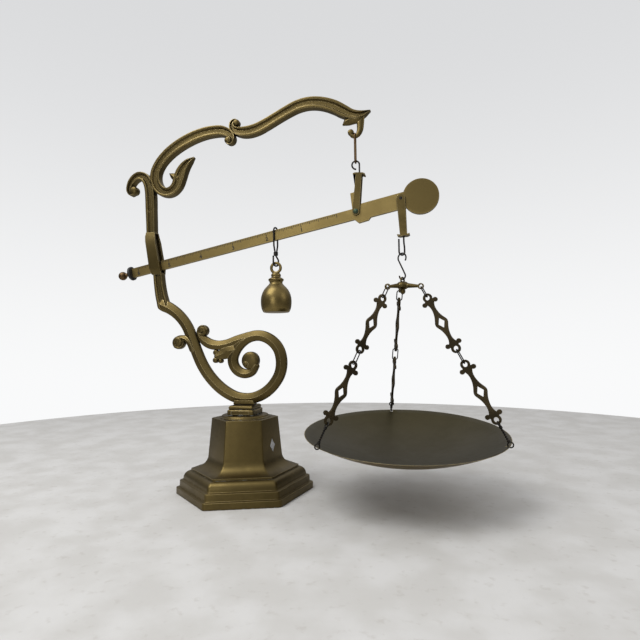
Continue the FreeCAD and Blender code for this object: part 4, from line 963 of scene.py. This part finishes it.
class SteelyardLook(bpy.types.PropertyGroup):
    """The colours and sizes that a user would change."""

    brass: FloatVectorProperty(
        name="Brass",
        description="Colour of clean brass",
        subtype="COLOR",
        default=(0.125, 0.092, 0.034),
        min=0,
        max=1,
    )
    tarnish: FloatVectorProperty(
        name="Tarnish",
        description="Colour of tarnished brass",
        subtype="COLOR",
        default=(0.052, 0.039, 0.016),
        min=0,
        max=1,
    )
    rubbed: FloatVectorProperty(
        name="Rubbed edges",
        description="Colour of worn edges",
        subtype="COLOR",
        default=(0.5, 0.4, 0.2),
        min=0,
        max=1,
    )
    mark_step: FloatProperty(
        name="Mark spacing", description="Distance between the beam's marks", default=0.0021, unit="LENGTH"
    )


class Maker:
    """What every operator here shares: execute runs the function that its class names."""

    bl_options = {"REGISTER", "UNDO"}

    def execute(self, context):
        self.work()
        return {"FINISHED"}


class STEELYARD_OT_stage(Maker, bpy.types.Operator):
    """Adds the pale table, the soft lights and the camera"""

    bl_idname = "steelyard.stage"
    bl_label = "Stage"
    work = staticmethod(make_stage)


class STEELYARD_OT_pedestal(Maker, bpy.types.Operator):
    """Builds the hollow hexagonal pedestal with its mouldings"""

    bl_idname = "steelyard.pedestal"
    bl_label = "Pedestal"
    work = staticmethod(make_pedestal)


class STEELYARD_OT_foot_block(Maker, bpy.types.Operator):
    """Builds the stepped and framed foot block"""

    bl_idname = "steelyard.foot_block"
    bl_label = "Foot block"
    work = staticmethod(make_foot_block)


class STEELYARD_OT_lower_scroll(Maker, bpy.types.Operator):
    """Builds the ridged scroll that stands on the foot block"""

    bl_idname = "steelyard.lower_scroll"
    bl_label = "Lower scroll"
    work = staticmethod(make_lower_scroll)


class STEELYARD_OT_arm(Maker, bpy.types.Operator):
    """Builds the fluted gooseneck arm with its volutes and hook"""

    bl_idname = "steelyard.arm"
    bl_label = "Gooseneck arm"
    work = staticmethod(make_arm)


class STEELYARD_OT_stand_fittings(Maker, bpy.types.Operator):
    """Finishes the beam guard, the studs and the bolt inside the pedestal"""

    bl_idname = "steelyard.stand_fittings"
    bl_label = "Guard and fixings"
    work = staticmethod(make_stand_fittings)


class STEELYARD_OT_beam(Maker, bpy.types.Operator):
    """Finishes the beam, its tongue, pins, stop washer and tip ball"""

    bl_idname = "steelyard.beam"
    bl_label = "Beam"
    work = staticmethod(make_beam)


class STEELYARD_OT_scale_marks(Maker, bpy.types.Operator):
    """Adds the beam's marks and plain numbers"""

    bl_idname = "steelyard.scale_marks"
    bl_label = "Scale marks"
    work = staticmethod(make_scale_marks)


class STEELYARD_OT_poise(Maker, bpy.types.Operator):
    """Builds the bell-shaped poise and finishes its hook"""

    bl_idname = "steelyard.poise"
    bl_label = "Poise"
    work = staticmethod(make_poise)


class STEELYARD_OT_hanging_parts(Maker, bpy.types.Operator):
    """Finishes the shackles and the hooks"""

    bl_idname = "steelyard.hanging_parts"
    bl_label = "Shackles and hooks"
    work = staticmethod(make_hanging_parts)


class STEELYARD_OT_chains(Maker, bpy.types.Operator):
    """Builds the spider, the chain links and the wires between them"""

    bl_idname = "steelyard.chains"
    bl_label = "Chains"
    work = staticmethod(make_chains)


class STEELYARD_OT_pan(Maker, bpy.types.Operator):
    """Builds the round pan"""

    bl_idname = "steelyard.pan"
    bl_label = "Pan"
    work = staticmethod(make_pan)


OPERATORS = (
    STEELYARD_OT_stage,
    STEELYARD_OT_pedestal,
    STEELYARD_OT_foot_block,
    STEELYARD_OT_lower_scroll,
    STEELYARD_OT_arm,
    STEELYARD_OT_stand_fittings,
    STEELYARD_OT_beam,
    STEELYARD_OT_scale_marks,
    STEELYARD_OT_poise,
    STEELYARD_OT_hanging_parts,
    STEELYARD_OT_chains,
    STEELYARD_OT_pan,
)


class STEELYARD_PT_panel(bpy.types.Panel):
    """Lists the colours and the pieces in the sidebar"""

    bl_idname = "STEELYARD_PT_panel"
    bl_label = "Steelyard"
    bl_space_type = "VIEW_3D"
    bl_region_type = "UI"
    bl_category = "Steelyard"

    def draw(self, context):
        for setting in ("brass", "tarnish", "rubbed", "mark_step"):
            self.layout.prop(context.scene.steelyard_look, setting)
        for maker in OPERATORS:
            self.layout.operator(maker.bl_idname)


CLASSES = (SteelyardLook, *OPERATORS, STEELYARD_PT_panel)


def register():
    for each in CLASSES:
        bpy.utils.register_class(each)
    bpy.types.Scene.steelyard_look = PointerProperty(type=SteelyardLook)


def unregister():
    del bpy.types.Scene.steelyard_look
    for each in reversed(CLASSES):
        bpy.utils.unregister_class(each)


def main():
    """Registers the add-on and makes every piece."""
    register()
    for maker in OPERATORS:
        group, name = maker.bl_idname.split(".")
        getattr(getattr(bpy.ops, group), name)()


if __name__ == "__main__":
    main()
